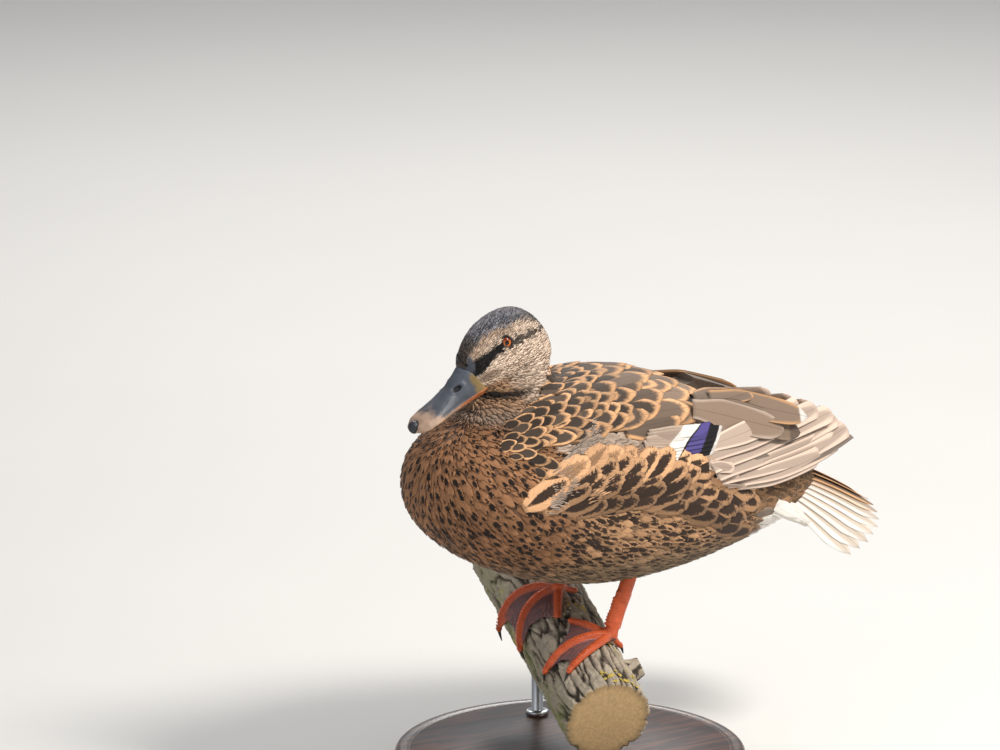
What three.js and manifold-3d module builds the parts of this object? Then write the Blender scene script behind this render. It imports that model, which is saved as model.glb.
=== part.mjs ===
// A hen mallard at rest, life size, as a museum shows it: the bird grips a short cut length of
// branch, and two rods hold the branch over a round wooden base.
// Millimetres, +Z up. The bird faces -X and its left side is -Y. The origin is the middle of the
// base's underside.
import * as THREE from "three";
import { mergeVertices } from "three/addons/utils/BufferGeometryUtils.js";
import Module from "manifold-3d";

const GAP = 0.3; // between neighbouring pieces
const FAR = 300; // reaches past the bird in every direction
const BODY_LEVEL = 101.6; // the height that all sizes of the bird's body count from

// Sections of the trunk from breast to rump: [along, top, bottom, half width].
const TRUNK = [
  [-121, 109, 95, 9],
  [-116, 125, 81, 28],
  [-105, 136, 67, 45],
  [-88, 145, 53, 57],
  [-62, 151, 40, 65],
  [-30, 158, 29, 69],
  [10, 162, 22.5, 71],
  [50, 156, 23, 69],
  [90, 140, 28, 61],
  [125, 122, 34.5, 50],
  [155, 104, 41, 38],
  [180, 88, 49, 24],
  [198, 74, 58, 9],
];
const TRUNK_SHAPE = { widest: 0.45, roundness: 2.2, steps: 2, sides: 20 };

// Stations of the neck from the shoulders up: [along, height, half length, half width].
const NECK = [
  [-52, 128, 47, 42],
  [-51, 143, 41, 36],
  [-47, 156, 32, 28],
  [-43, 168, 24, 22],
  [-40, 180, 18, 17],
];
const NECK_SIDES = 16;

// The head has a frame of its own: the corner of the mouth is the origin, x runs forward along
// the bill and z up.
const HEAD_PLACE = new THREE.Vector3(-76, 0, 166);
const HEAD_PITCH = THREE.MathUtils.degToRad(20);
const HEAD_TURN = THREE.MathUtils.degToRad(5);
const HEAD = [
  [6.2, 19.8, 13.6, 3.4],
  [2, 26, 1.4, 10.6],
  [-4, 31.6, -6.5, 14.4],
  [-14, 37, -10, 17],
  [-25, 38.6, -12, 18.6],
  [-36, 38.3, -13.5, 19.4],
  [-47, 34.8, -14, 18.6],
  [-56, 26, -12, 15.4],
  [-62.5, 12, -4, 6],
];
const HEAD_SHAPE = { widest: 0.4, roundness: 2.1, steps: 2, sides: 16 };
const EYE = { along: -24.4, side: 11.5, height: 22.9, radius: 5.5 };

const BILL_LENGTH = 55;
const LIP_WAVE = 1.2; // how far the cut between the mandibles dips at mid-length
const DROOP = { from: 18, fall: 3.2 }; // how far that cut curves down towards the tip
const BILL_SHAPE = { sides: 11, fullness: 0.9 };
// Upper bill: [along, top, half width].
const UPPER_BILL = [
  [-5, 23, 11.6],
  [2, 21.4, 11.4],
  [10, 16.2, 10.2],
  [20, 11.2, 9.6],
  [30, 8, 10.6],
  [40, 5.8, 11.9],
  [48, 3.9, 11.3],
  [53, 1.8, 7.8],
  [55.5, -0.6, 3.4],
];
// Lower bill: [along, bottom, half width].
const LOWER_BILL = [
  [-6, -7.5, 8],
  [5, -6, 8.2],
  [20, -5.2, 8.6],
  [35, -5.4, 9.4],
  [45, -6.2, 9.4],
  [50, -6.2, 6.6],
  [52, -5.6, 3],
];
const NAIL = { along: 53, height: -0.4, half: [4.2, 3.9, 4.4] };

// The shells of feathers on the shoulder and the folded wing, seen from the side.
const SCAPULAR_DEPTH = 6;
const SCAPULAR_OUTLINE = [
  [-58, 160],
  [-56, 140],
  [-36, 128],
  [20, 129],
  [60, 131],
  [92, 134],
  [106, 141],
  [104, 190],
  [-58, 190],
];
const WING_DEPTH = 4.5;
const WING_OUTLINE = [
  [-56, 140],
  [-54, 116],
  [-40, 104],
  [0, 97],
  [50, 99],
  [90, 104],
  [98, 114],
  [98, 126],
  [90, 145],
];
const BLADE_EDGE = 0.5; // half the thickness of a blade of flight feathers at its edges
const MIDLINE = 0.5; // the flight feathers stop this far short of the bird's middle
// Stacked flight feathers of the left wing:
// [along, side, height, width, thickness, normal along, normal side, normal up].
const TERTIALS = [
  [60, -32, 155, 30, 16, 0.2, -0.5, 0.85],
  [104, -31, 142, 38, 15, 0.25, -0.5, 0.85],
  [140, -24, 129, 35, 11, 0.25, -0.45, 0.87],
  [172, -14, 117, 25, 5, 0.2, -0.42, 0.9],
  [196, -7, 110, 9, 1.2, 0.2, -0.4, 0.9],
];
const PRIMARIES = [
  [62, -58, 112, 30, 8, 0, -0.8, 0.6],
  [110, -50, 107, 36, 8, 0, -0.76, 0.66],
  [150, -36, 101, 34, 5, 0.1, -0.62, 0.77],
  [190, -20, 95.5, 23, 2.4, 0.1, -0.5, 0.86],
  [214, -11, 92.5, 12, 1.4, 0.1, -0.45, 0.89],
  [225, -8, 91, 4, 1.2, 0.1, -0.45, 0.89],
];

// The tail is a fan: its values run from the middle feather to the outermost one.
const TAIL = {
  spread: THREE.MathUtils.degToRad(50),
  root: [157, 12, 84],
  rootFall: [6, 0, 8],
  length: 93,
  shorter: 22,
  pitch: THREE.MathUtils.degToRad(27),
  morePitch: THREE.MathUtils.degToRad(15),
  rootThickness: 4,
  tipThickness: 1.2,
  across: 14,
  along: 4,
};

// The branch lies crosswise under the bird: its far end is behind the bird's right side.
const PERCH = {
  radius: 29,
  nearEnd: -50,
  farEnd: 150,
  yaw: THREE.MathUtils.degToRad(74),
  slope: THREE.MathUtils.degToRad(19),
  place: new THREE.Vector3(-0.13, -14.4, 65.8),
};
const STUB = { along: -16, angle: -1.15, radius: 8, endRadius: 6.4, length: 36 };

// Feet: where the toe joint stands on the branch. A toe leaves the joint at its turn from straight
// ahead (positive towards the bird's right), bends by `bend` on its way, and its tip stands off
// the bark by `lift`.
const FEET = {
  left: {
    along: 0,
    angle: THREE.MathUtils.degToRad(-26),
    ankle: new THREE.Vector3(26.6, -30, 33),
    toes: [
      { name: "inner", turn: 43, bend: 0, length: 28, lift: 0 },
      { name: "middle", turn: -7, bend: 0, length: 54, lift: 0 },
      { name: "outer", turn: -47, bend: 26, length: 46, lift: 0 },
    ],
  },
  right: {
    along: 53.5,
    angle: THREE.MathUtils.degToRad(5),
    ankle: new THREE.Vector3(22, 27, 49),
    toes: [
      { name: "inner", turn: -71, bend: 0, length: 28, lift: 0 },
      { name: "middle", turn: 10, bend: -75, length: 54, lift: 2 },
      { name: "outer", turn: 49, bend: -74, length: 55, lift: 5 },
    ],
  },
};
const SOLE_GAP = 0.5; // between the bark and the underside of toes that bend round it in flats
const TOE = { rootRadius: 3.1, tipRadius: 2.1, endShare: 0.6, jointRadius: 5, rise: 2.4, fall: 12 };
const TOE_RINGS = 8;
const WEB = { thickness: 1.2, start: 0.08, scallop: 0.22, lift: 1.2, across: 3, along: 6 };
const HALLUX = { length: 12, rootRadius: 2.4, tipRadius: 1.7, rise: 3.4 };
const CLAW = { length: 6.5, rootRadius: 1.6, tipRadius: 0.35, arch: 0.4 };
const SHANK = { halfLength: 5.3, halfWidth: 3.2, flare: 1.12, sunk: 1.5 };
const THIGH = {
  endLeft: 19,
  endRight: 21,
  radius: 12,
  deeper: 1.15, // front to back against side to side
  rings: [[0, 0.52], [4, 0.7], [10, 0.9], [22, 1]], // height over the end, share of the radius
};

const BASE = { radius: 115, thickness: 14, edge: 4, chamfer: 1, socket: 8, sides: 24 };
const ROD = { radius: 4, collarRadius: 8, collarHeight: 3, sunk: 12, stations: [-14, 95], sides: 10 };
const BRANCH_SIDES = 28;

const wasm = await Module();
wasm.setup();

// ---- Closed surfaces ----

/** A closed surface from points and triangles, turned so that its faces point out. */
function closedSurface(points, triangles) {
  let volume = 0;
  for (let i = 0; i < triangles.length; i += 3) {
    const [a, b, c] = triangles.slice(i, i + 3).map((index) => points[index]);
    volume += a.dot(b.clone().cross(c));
  }
  if (volume < 0) triangles.reverse();
  const geometry = new THREE.BufferGeometry().setFromPoints(points);
  return geometry.setIndex(triangles);
}

/** Skins a row of rings that have equally many points, and closes both ends with a fan. */
function loft(rings) {
  const sides = rings[0].length;
  const points = rings.flat();
  const triangles = [];
  for (let ring = 0; ring + 1 < rings.length; ring++) {
    for (let i = 0; i < sides; i++) {
      const a = ring * sides + i;
      const b = ring * sides + ((i + 1) % sides);
      triangles.push(a, b, a + sides, b, b + sides, a + sides);
    }
  }
  for (const [ring, inwards] of [[0, true], [rings.length - 1, false]]) {
    const centre = new THREE.Vector3();
    rings[ring].forEach((point) => centre.addScaledVector(point, 1 / sides));
    points.push(centre);
    for (let i = 0; i < sides; i++) {
      const a = ring * sides + i;
      const b = ring * sides + ((i + 1) % sides);
      triangles.push(points.length - 1, ...(inwards ? [b, a] : [a, b]));
    }
  }
  return closedSurface(points, triangles);
}

/** A thin closed slab round the surface middle(u, v), with half(u, v) as half its thickness. */
function plate(middle, half, across, along) {
  const points = [];
  const columns = across + 1;
  for (const side of [1, -1]) {
    for (let j = 0; j <= along; j++) {
      for (let i = 0; i <= across; i++) {
        const [u, v] = [i / across, j / along];
        points.push(middle(u, v).addScaledVector(half(u, v), side));
      }
    }
  }
  const back = columns * (along + 1);
  const triangles = [];
  for (let j = 0; j < along; j++) {
    for (let i = 0; i < across; i++) {
      const a = j * columns + i;
      const [b, c, d] = [a + 1, a + columns, a + columns + 1];
      triangles.push(a, b, c, b, d, c);
      triangles.push(back + a, back + c, back + b, back + b, back + c, back + d);
    }
  }
  const rim = [];
  for (let i = 0; i < across; i++) rim.push(i);
  for (let j = 0; j < along; j++) rim.push(j * columns + across);
  for (let i = across; i > 0; i--) rim.push(along * columns + i);
  for (let j = along; j > 0; j--) rim.push(j * columns);
  rim.forEach((a, i) => {
    const b = rim[(i + 1) % rim.length];
    triangles.push(b, a, back + a, b, back + a, back + b);
  });
  return closedSurface(points, triangles);
}

/** Rows on a smooth curve through the rows of a table, `steps` for each one given. */
function smoothRows(rows, steps) {
  const smooth = [];
  for (let i = 0; i + 1 < rows.length; i++) {
    const [p, q] = [rows[i], rows[i + 1]];
    const before = rows[i - 1] ?? p;
    const after = rows[i + 2] ?? q;
    for (let k = 0; k < steps; k++) {
      const t = k / steps;
      smooth.push(
        p.map((value, n) => {
          const [m0, m1] = [(q[n] - before[n]) / 2, (after[n] - value) / 2];
          const [t2, t3] = [t * t, t * t * t];
          return (
            value * (2 * t3 - 3 * t2 + 1) + m0 * (t3 - 2 * t2 + t) +
            q[n] * (3 * t2 - 2 * t3) + m1 * (t3 - t2)
          );
        }),
      );
    }
  }
  smooth.push(rows.at(-1));
  return smooth;
}

const signedPower = (value, power) => Math.sign(value) * Math.abs(value) ** power;

/** An upright ring across x, widest at a share of its height; roundness 2 is an ellipse. */
function sectionRing([x, top, bottom, half], { widest, roundness, sides }) {
  const middle = bottom + (top - bottom) * widest;
  return Array.from({ length: sides }, (_, i) => {
    const angle = (2 * Math.PI * i) / sides;
    const side = half * signedPower(Math.cos(angle), 2 / roundness);
    const rise = signedPower(Math.sin(angle), 2 / roundness);
    return new THREE.Vector3(x, side, middle + rise * (rise > 0 ? top - middle : middle - bottom));
  });
}

/** The body through a table of sections, grown outwards by `grow`. */
function sectionBody(table, shape, grow = 0) {
  const ends = [table[0], table.at(-1)];
  const outwards = Math.sign(ends[1][0] - ends[0][0]);
  const rows = smoothRows(table, shape.steps).map(([x, top, bottom, half], i, all) => {
    const shift = i === 0 ? -grow : i === all.length - 1 ? grow : 0;
    return [x + shift * outwards, top + grow, bottom - grow, half + grow];
  });
  return loft(rows.map((row) => sectionRing(row, shape)));
}

/** An oval ring round a centre, spanned by two half axes. */
function ovalRing(centre, halfA, halfB, sides) {
  return Array.from({ length: sides }, (_, i) => {
    const angle = (2 * Math.PI * i) / sides;
    return centre
      .clone()
      .addScaledVector(halfA, Math.cos(angle))
      .addScaledVector(halfB, Math.sin(angle));
  });
}

/** A tapered limb along a path; its rings stand across the path, held level with `over(i)`. */
function limb(path, radii, over, sides) {
  const rings = path.map((point, i) => {
    const ahead = path[Math.min(i + 1, path.length - 1)].clone();
    const tangent = ahead.sub(path[Math.max(i - 1, 0)]).normalize();
    const side = new THREE.Vector3().crossVectors(tangent, over(point)).normalize();
    const top = new THREE.Vector3().crossVectors(side, tangent);
    return ovalRing(point, side.multiplyScalar(radii[i]), top.multiplyScalar(radii[i]), sides);
  });
  return loft(rings);
}

// ---- Joining and cutting ----

function solid(geometry) {
  const bare = geometry.clone();
  bare.deleteAttribute("normal");
  bare.deleteAttribute("uv");
  const merged = mergeVertices(bare, 1e-4);
  return new wasm.Manifold(
    new wasm.Mesh({
      numProp: 3,
      vertProperties: merged.attributes.position.array,
      triVerts: new Uint32Array(merged.index.array),
    }),
  );
}

/** The largest body of a solid as a geometry, without the slivers that a cut can leave. */
function geometryOf(shape) {
  const [body] = shape.decompose().sort((a, b) => b.volume() - a.volume());
  const { vertProperties, triVerts } = body.getMesh();
  const geometry = new THREE.BufferGeometry();
  geometry.setAttribute("position", new THREE.BufferAttribute(vertProperties, 3));
  return geometry.setIndex(new THREE.BufferAttribute(triVerts, 1));
}

const join = (first, ...others) =>
  geometryOf(others.reduce((shape, other) => shape.add(solid(other)), solid(first)));
const cut = (first, ...tools) =>
  geometryOf(tools.reduce((shape, tool) => shape.subtract(solid(tool)), solid(first)));
const common = (first, other) => geometryOf(solid(first).intersect(solid(other)));

/** The other side's copy of a geometry. */
function mirrored(geometry) {
  const copy = geometry.clone().scale(1, -1, 1);
  copy.index.array.reverse();
  return copy;
}

/** Everything on the left whose side view lies in the outline; `grow` widens the outline. */
function sidePrism(outline, grow = 0) {
  const centre = new THREE.Vector2();
  const corners = outline.map(([x, z]) => new THREE.Vector2(x, z));
  corners.forEach((corner) => centre.addScaledVector(corner, 1 / corners.length));
  corners.forEach((corner) => {
    const outwards = corner.clone().sub(centre).normalize();
    corner.addScaledVector(outwards, grow);
  });
  const extrusion = { depth: FAR, bevelEnabled: false };
  const prism = new THREE.ExtrudeGeometry(new THREE.Shape(corners), extrusion);
  const indexed = mergeVertices(prism.deleteAttribute("normal").deleteAttribute("uv"));
  return indexed.rotateX(Math.PI / 2).translate(0, grow - GAP, 0);
}

// ---- The scene graph ----

const model = new THREE.Group();
const bird = new THREE.Group();
bird.position.z = BODY_LEVEL;
const headGroup = new THREE.Group();
headGroup.position.copy(HEAD_PLACE);
headGroup.rotation.set(0, HEAD_PITCH, Math.PI + HEAD_TURN, "ZYX");
const perch = new THREE.Group();
perch.position.copy(PERCH.place);
perch.rotation.set(0, -PERCH.slope, PERCH.yaw, "ZYX");
bird.add(headGroup);
model.add(bird, perch);
model.updateMatrixWorld(true);

const material = (color, roughness, metalness = 0) =>
  new THREE.MeshStandardMaterial({ color, roughness, metalness });
const finish = {
  plumage: material(0x9a7a58, 0.85),
  dark: material(0x4a3b30, 0.85),
  flight: material(0x8a7a6a, 0.8),
  tail: material(0xd8cfc0, 0.8),
  horn: material(0x4d5359, 0.4),
  nail: material(0x2b2d30, 0.35),
  eye: material(0x2a1608, 0.08),
  leg: material(0xd2582a, 0.55),
  claw: material(0x1b1816, 0.4),
  bark: material(0x8b8378, 0.95),
  base: material(0x6b4429, 0.5),
  rod: material(0x9da0a3, 0.3, 0.9),
};

/** Adds a named piece to a group. */
function piece(group, name, geometry, look) {
  geometry.computeVertexNormals();
  const mesh = new THREE.Mesh(geometry, look.clone());
  mesh.name = name;
  group.add(mesh);
  return mesh;
}

/** A geometry of one group as another group, or the model itself, sees it. */
function seenFrom(group, geometry, from) {
  const change = from.matrixWorld.clone().premultiply(group.matrixWorld.clone().invert());
  return geometry.clone().applyMatrix4(change);
}

// ---- Trunk, wings and tail ----

const trunkBody = (grow) => sectionBody(TRUNK, TRUNK_SHAPE, grow);

/** A stack of long feathers as one blade, thickest along its middle. */
function blade(table, grow = 0) {
  const rows = smoothRows(table, 2);
  const read = (v) => rows[Math.round(v * (rows.length - 1))];
  const normal = (row) => new THREE.Vector3(...row.slice(5)).normalize();
  const along = (v) => {
    const step = 1 / (rows.length - 1);
    const ahead = new THREE.Vector3(...read(Math.min(v + step, 1)).slice(0, 3));
    return ahead.sub(new THREE.Vector3(...read(Math.max(v - step, 0)).slice(0, 3))).normalize();
  };
  const middle = (u, v) => {
    const row = read(v);
    const across = new THREE.Vector3().crossVectors(normal(row), along(v)).normalize();
    const centre = new THREE.Vector3(...row.slice(0, 3));
    centre.addScaledVector(normal(row), -row[4] / 2);
    return centre.addScaledVector(across, (u - 0.5) * (row[3] + 2 * grow));
  };
  const half = (u, v) => {
    const row = read(v);
    const full = 1 - (2 * u - 1) ** 4;
    return normal(row).multiplyScalar(BLADE_EDGE + (row[4] / 2 - BLADE_EDGE) * full + grow);
  };
  return plate(middle, half, 4, rows.length - 1);
}

/** The tail's fan: u runs across it, v from the root to the tips. */
function tailFan() {
  const place = (u, v) => {
    const turn = (2 * u - 1) * TAIL.spread;
    const share = Math.abs(2 * u - 1);
    const pitch = TAIL.pitch + TAIL.morePitch * share ** 2;
    const length = TAIL.length - TAIL.shorter * share ** 1.5;
    const out = new THREE.Vector3(
      Math.cos(turn) * Math.cos(pitch),
      Math.sin(turn) * Math.cos(pitch),
      -Math.sin(pitch),
    );
    const root = new THREE.Vector3(
      TAIL.root[0] - TAIL.rootFall[0] * share,
      TAIL.root[1] * (2 * u - 1),
      TAIL.root[2] - TAIL.rootFall[2] * share,
    );
    const side = new THREE.Vector3(-Math.sin(turn), Math.cos(turn), 0);
    const point = root.addScaledVector(out, length * v);
    return { point, normal: out.cross(side).normalize() };
  };
  const thickness = (v) => THREE.MathUtils.lerp(TAIL.rootThickness, TAIL.tipThickness, v);
  return plate(
    (u, v) => place(u, v).point,
    (u, v) => place(u, v).normal.multiplyScalar(thickness(v) / 2),
    TAIL.across,
    TAIL.along,
  );
}

/** A shell of short feathers over the left of the trunk, inside a side outline. */
function trunkShell(depth, outline) {
  return cut(common(trunkBody(depth), sidePrism(outline)), trunkBody(GAP));
}

function leftWing() {
  const scapulars = trunkShell(SCAPULAR_DEPTH, SCAPULAR_OUTLINE);
  const wing = cut(trunkShell(WING_DEPTH, WING_OUTLINE), sidePrism(SCAPULAR_OUTLINE, GAP));
  const shells = [sidePrism(SCAPULAR_OUTLINE, GAP), sidePrism(WING_OUTLINE, GAP)];
  const otherSide = new THREE.BoxGeometry(2 * FAR, FAR, 2 * FAR).translate(0, FAR / 2 - MIDLINE, 0);
  const tertials = cut(blade(TERTIALS), trunkBody(GAP), ...shells, otherSide);
  const primaries = cut(blade(PRIMARIES), trunkBody(GAP), ...shells, blade(TERTIALS, GAP), otherSide);
  return { scapulars, wing, tertials, primaries };
}

/** The neck as level ovals, from deep in the shoulders up into the head. */
const neckBody = (grow) =>
  loft(
    smoothRows(NECK, 2).map(([x, z, halfLength, halfWidth]) =>
      ovalRing(
        new THREE.Vector3(x, 0, z),
        new THREE.Vector3(halfLength + grow, 0, 0),
        new THREE.Vector3(0, halfWidth + grow, 0),
        NECK_SIDES,
      ),
    ),
  );

function addTrunk() {
  const rooms = headRooms();
  piece(bird, "neck", cut(neckBody(0), trunkBody(GAP), ...rooms), finish.plumage);
  piece(bird, "trunk", cut(trunkBody(0), ...rooms), finish.plumage);
}

function addWingsAndTail() {
  const parts = leftWing();
  parts.scapulars = cut(parts.scapulars, neckBody(GAP));
  const looks = {
    scapulars: finish.dark,
    wing: finish.plumage,
    tertials: finish.flight,
    primaries: finish.flight,
  };
  for (const [name, geometry] of Object.entries(parts)) {
    piece(bird, name + "_left", geometry, looks[name]);
    piece(bird, name + "_right", mirrored(geometry), looks[name]);
  }
  piece(bird, "tail", cut(tailFan(), trunkBody(GAP)), finish.tail);
}

// ---- Head and bill ----

/** Height of the cut between the mandibles. */
function lipLevel(x) {
  const wave = LIP_WAVE * Math.sin((Math.PI * Math.max(x, 0)) / BILL_LENGTH);
  const share = Math.max(x - DROOP.from, 0) / (BILL_LENGTH - DROOP.from);
  return -wave - DROOP.fall * share ** 2;
}

/**
 * Half of the bill as a row of half-round rings on the cut between the mandibles; direction is
 * 1 for the upper half and -1 for the lower one.
 */
function mandible(table, direction, grow = 0) {
  const { sides, fullness } = BILL_SHAPE;
  const rows = smoothRows(table, 1);
  const rings = rows.map(([x, height, half], row) => {
    const lip = lipLevel(x) + direction * (GAP / 2 - grow);
    const shift = row === rows.length - 1 ? grow : 0;
    return Array.from({ length: sides }, (_, i) => {
      const angle = (Math.PI * i) / (sides - 1);
      const rise = (height + direction * grow - lip) * Math.max(Math.sin(angle), 0) ** fullness;
      return new THREE.Vector3(x + shift, (half + grow) * Math.cos(angle), lip + rise);
    });
  });
  return loft(rings);
}

/** The hard nail at the bill's tip. */
const nailBody = (grow) =>
  new THREE.SphereGeometry(1, 12, 6)
    .scale(...NAIL.half.map((half) => half + grow))
    .translate(NAIL.along, 0, NAIL.height);

/** The room that the head and bill take, with the gap round them, as the bird's frame sees it. */
const headRooms = () =>
  [
    sectionBody(HEAD, HEAD_SHAPE, GAP),
    mandible(UPPER_BILL, 1, GAP),
    mandible(LOWER_BILL, -1, GAP),
    nailBody(GAP),
  ].map((room) => seenFrom(bird, room, headGroup));

function addHead() {
  const head = sectionBody(HEAD, HEAD_SHAPE);
  const eyes = [1, -1].map((side) => {
    const ball = (radius) =>
      new THREE.SphereGeometry(radius, 12, 7).translate(EYE.along, side * EYE.side, EYE.height);
    return { ball: ball(EYE.radius), socket: ball(EYE.radius + GAP) };
  });
  const faceRoom = sectionBody(HEAD, HEAD_SHAPE, GAP);
  const upper = cut(mandible(UPPER_BILL, 1), faceRoom, nailBody(GAP));
  const lower = cut(mandible(LOWER_BILL, -1), faceRoom, nailBody(GAP));
  piece(headGroup, "head", cut(head, eyes[0].socket, eyes[1].socket), finish.plumage);
  piece(headGroup, "eye_left", eyes[0].ball, finish.eye);
  piece(headGroup, "eye_right", eyes[1].ball, finish.eye);
  piece(headGroup, "bill_upper", upper, finish.horn);
  piece(headGroup, "bill_lower", lower, finish.horn);
  piece(headGroup, "bill_nail", nailBody(0), finish.nail);
}

// ---- Branch, feet and legs ----

/** A point over the branch: along its axis, at an angle forward of its top, and out from its axis. */
const perchPoint = (along, angle, radius) =>
  new THREE.Vector3(along, radius * Math.sin(angle), radius * Math.cos(angle));

/** The way out from the branch's axis at a point. */
const outFromPerch = (point) => new THREE.Vector3(0, point.y, point.z).normalize();

/** Where a toe is on the bark, `reach` from the joint. */
function toePlace(foot, { turn, bend, length, lift }, reach) {
  const start = THREE.MathUtils.degToRad(turn);
  const curve = THREE.MathUtils.degToRad(bend) / length;
  const heading = start + curve * reach;
  const ahead = curve ? (Math.sin(heading) - Math.sin(start)) / curve : reach * Math.cos(start);
  const aside = curve ? (Math.cos(start) - Math.cos(heading)) / curve : reach * Math.sin(start);
  return {
    along: foot.along + aside,
    angle: foot.angle + ahead / (PERCH.radius + TOE.rootRadius),
    lift: lift * (reach / length) ** 2,
  };
}

/** The point at `height` over a place on the bark. */
const footPoint = ({ along, angle, lift }, height) =>
  perchPoint(along, angle, PERCH.radius + SOLE_GAP + lift + height);

/** A toe as a limb that comes down from the joint and lies round the bark. */
function toeLimb(foot, toe, shape) {
  const last = TOE_RINGS - 1;
  const shares = Array.from({ length: TOE_RINGS }, (_, i) => i / last);
  const fullness = shares.map((share) =>
    THREE.MathUtils.lerp(shape.rootRadius, shape.tipRadius, share),
  );
  const radii = fullness.map((radius, i) => (i === last ? radius * TOE.endShare : radius));
  const path = shares.map((share, i) => {
    const reach = share * toe.length;
    const fall = Math.max(0, 1 - reach / TOE.fall);
    return footPoint(toePlace(foot, toe, reach), fullness[i] + shape.rise * fall ** 2);
  });
  return limb(path, radii, outFromPerch, 6);
}

function clawLimb(foot, toe) {
  const shares = [0, 0.35, 0.7, 1];
  const radii = shares.map((share) => THREE.MathUtils.lerp(CLAW.rootRadius, CLAW.tipRadius, share));
  const path = shares.map((share, i) => {
    const place = toePlace(foot, toe, toe.length + 3 * GAP + share * CLAW.length);
    return footPoint(place, radii[i] + CLAW.arch * (1 - share));
  });
  return limb(path, radii, outFromPerch, 5);
}

/** The skin between two toes, with a hollow free edge. */
function webPlate(foot, from, to) {
  const { lerp } = THREE.MathUtils;
  const middle = (u, v) => {
    const share = lerp(WEB.start, 1 - WEB.scallop * Math.sin(Math.PI * u), v);
    const a = toePlace(foot, from, share * from.length);
    const b = toePlace(foot, to, share * to.length);
    const place = {
      along: lerp(a.along, b.along, u),
      angle: lerp(a.angle, b.angle, u),
      lift: lerp(a.lift, b.lift, u),
    };
    return footPoint(place, WEB.thickness / 2 + WEB.lift);
  };
  const half = (u, v) => outFromPerch(middle(u, v)).multiplyScalar(WEB.thickness / 2);
  return plate(middle, half, WEB.across, WEB.along);
}

function addFoot(side) {
  const foot = FEET[side];
  const [inner, middle, outer] = foot.toes;
  const hind = { name: "hind", turn: 180, bend: 0, length: HALLUX.length, lift: 0 };
  const joint = footPoint(toePlace(foot, middle, 0), TOE.jointRadius);
  const ball = new THREE.SphereGeometry(TOE.jointRadius, 8, 6).translate(...joint.toArray());
  const geometry = join(
    ball,
    ...foot.toes.map((toe) => toeLimb(foot, toe, TOE)),
    webPlate(foot, inner, middle),
    webPlate(foot, middle, outer),
    toeLimb(foot, hind, HALLUX),
  );
  piece(perch, "foot_" + side, geometry, finish.leg);
  for (const toe of [...foot.toes, hind]) {
    piece(perch, `claw_${side}_${toe.name}`, clawLimb(foot, toe), finish.claw);
  }
  return perch.localToWorld(joint.clone()).sub(bird.position);
}

/** The scaly shank from inside the leg's feathers down to the toe joint. */
function shankLimb(top, end, grow = 0) {
  const direction = end.clone().sub(top).normalize();
  const start = top.clone().addScaledVector(direction, -grow);
  const side = new THREE.Vector3(0, 1, 0);
  const fore = new THREE.Vector3().crossVectors(side, direction).normalize();
  const rings = [0, 0.2, 0.5, 0.8, 1].map((share) => {
    const flare = 1 + (SHANK.flare - 1) * Math.abs(2 * share - 1) ** 2;
    return ovalRing(
      start.clone().lerp(end, share),
      fore.clone().multiplyScalar(SHANK.halfLength * flare + grow),
      side.clone().multiplyScalar(SHANK.halfWidth * flare + grow),
      12,
    );
  });
  return loft(rings);
}

function addLeg(side, end) {
  const { ankle } = FEET[side];
  const joint = addFoot(side);
  const axis = ankle.clone().sub(joint);
  const atHeight = (z) => joint.clone().addScaledVector(axis, (z - joint.z) / axis.z);
  const bottom = joint.clone().addScaledVector(axis.clone().normalize(), TOE.jointRadius + GAP);
  const top = atHeight(end + SHANK.sunk);
  piece(bird, "shank_" + side, shankLimb(top, bottom), finish.leg);
  const rings = THIGH.rings.map(([height, share]) =>
    ovalRing(
      atHeight(end + height),
      new THREE.Vector3(THIGH.radius * share * THIGH.deeper, 0, 0),
      new THREE.Vector3(0, THIGH.radius * share, 0),
      14,
    ),
  );
  const thigh = cut(loft(rings), trunkBody(GAP), shankLimb(top, bottom, GAP));
  piece(bird, "thigh_" + side, thigh, finish.plumage);
}

/** A round rod hole through anything, from z = bottom up to z = top. */
function rodHole(x, y, bottom, top) {
  const radius = ROD.radius + GAP;
  const hole = new THREE.CylinderGeometry(radius, radius, top - bottom, ROD.sides);
  return hole.rotateX(Math.PI / 2).translate(x, y, (top + bottom) / 2);
}

/** Where each rod stands, and how high up it ends inside the branch. */
function rodPlaces() {
  const underside = PERCH.radius / Math.cos(PERCH.slope);
  return ROD.stations.map((station) => {
    const { x, y, z } = perch.localToWorld(perchPoint(station, 0, 0));
    return { x, y, top: z - underside + ROD.sunk };
  });
}

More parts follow.
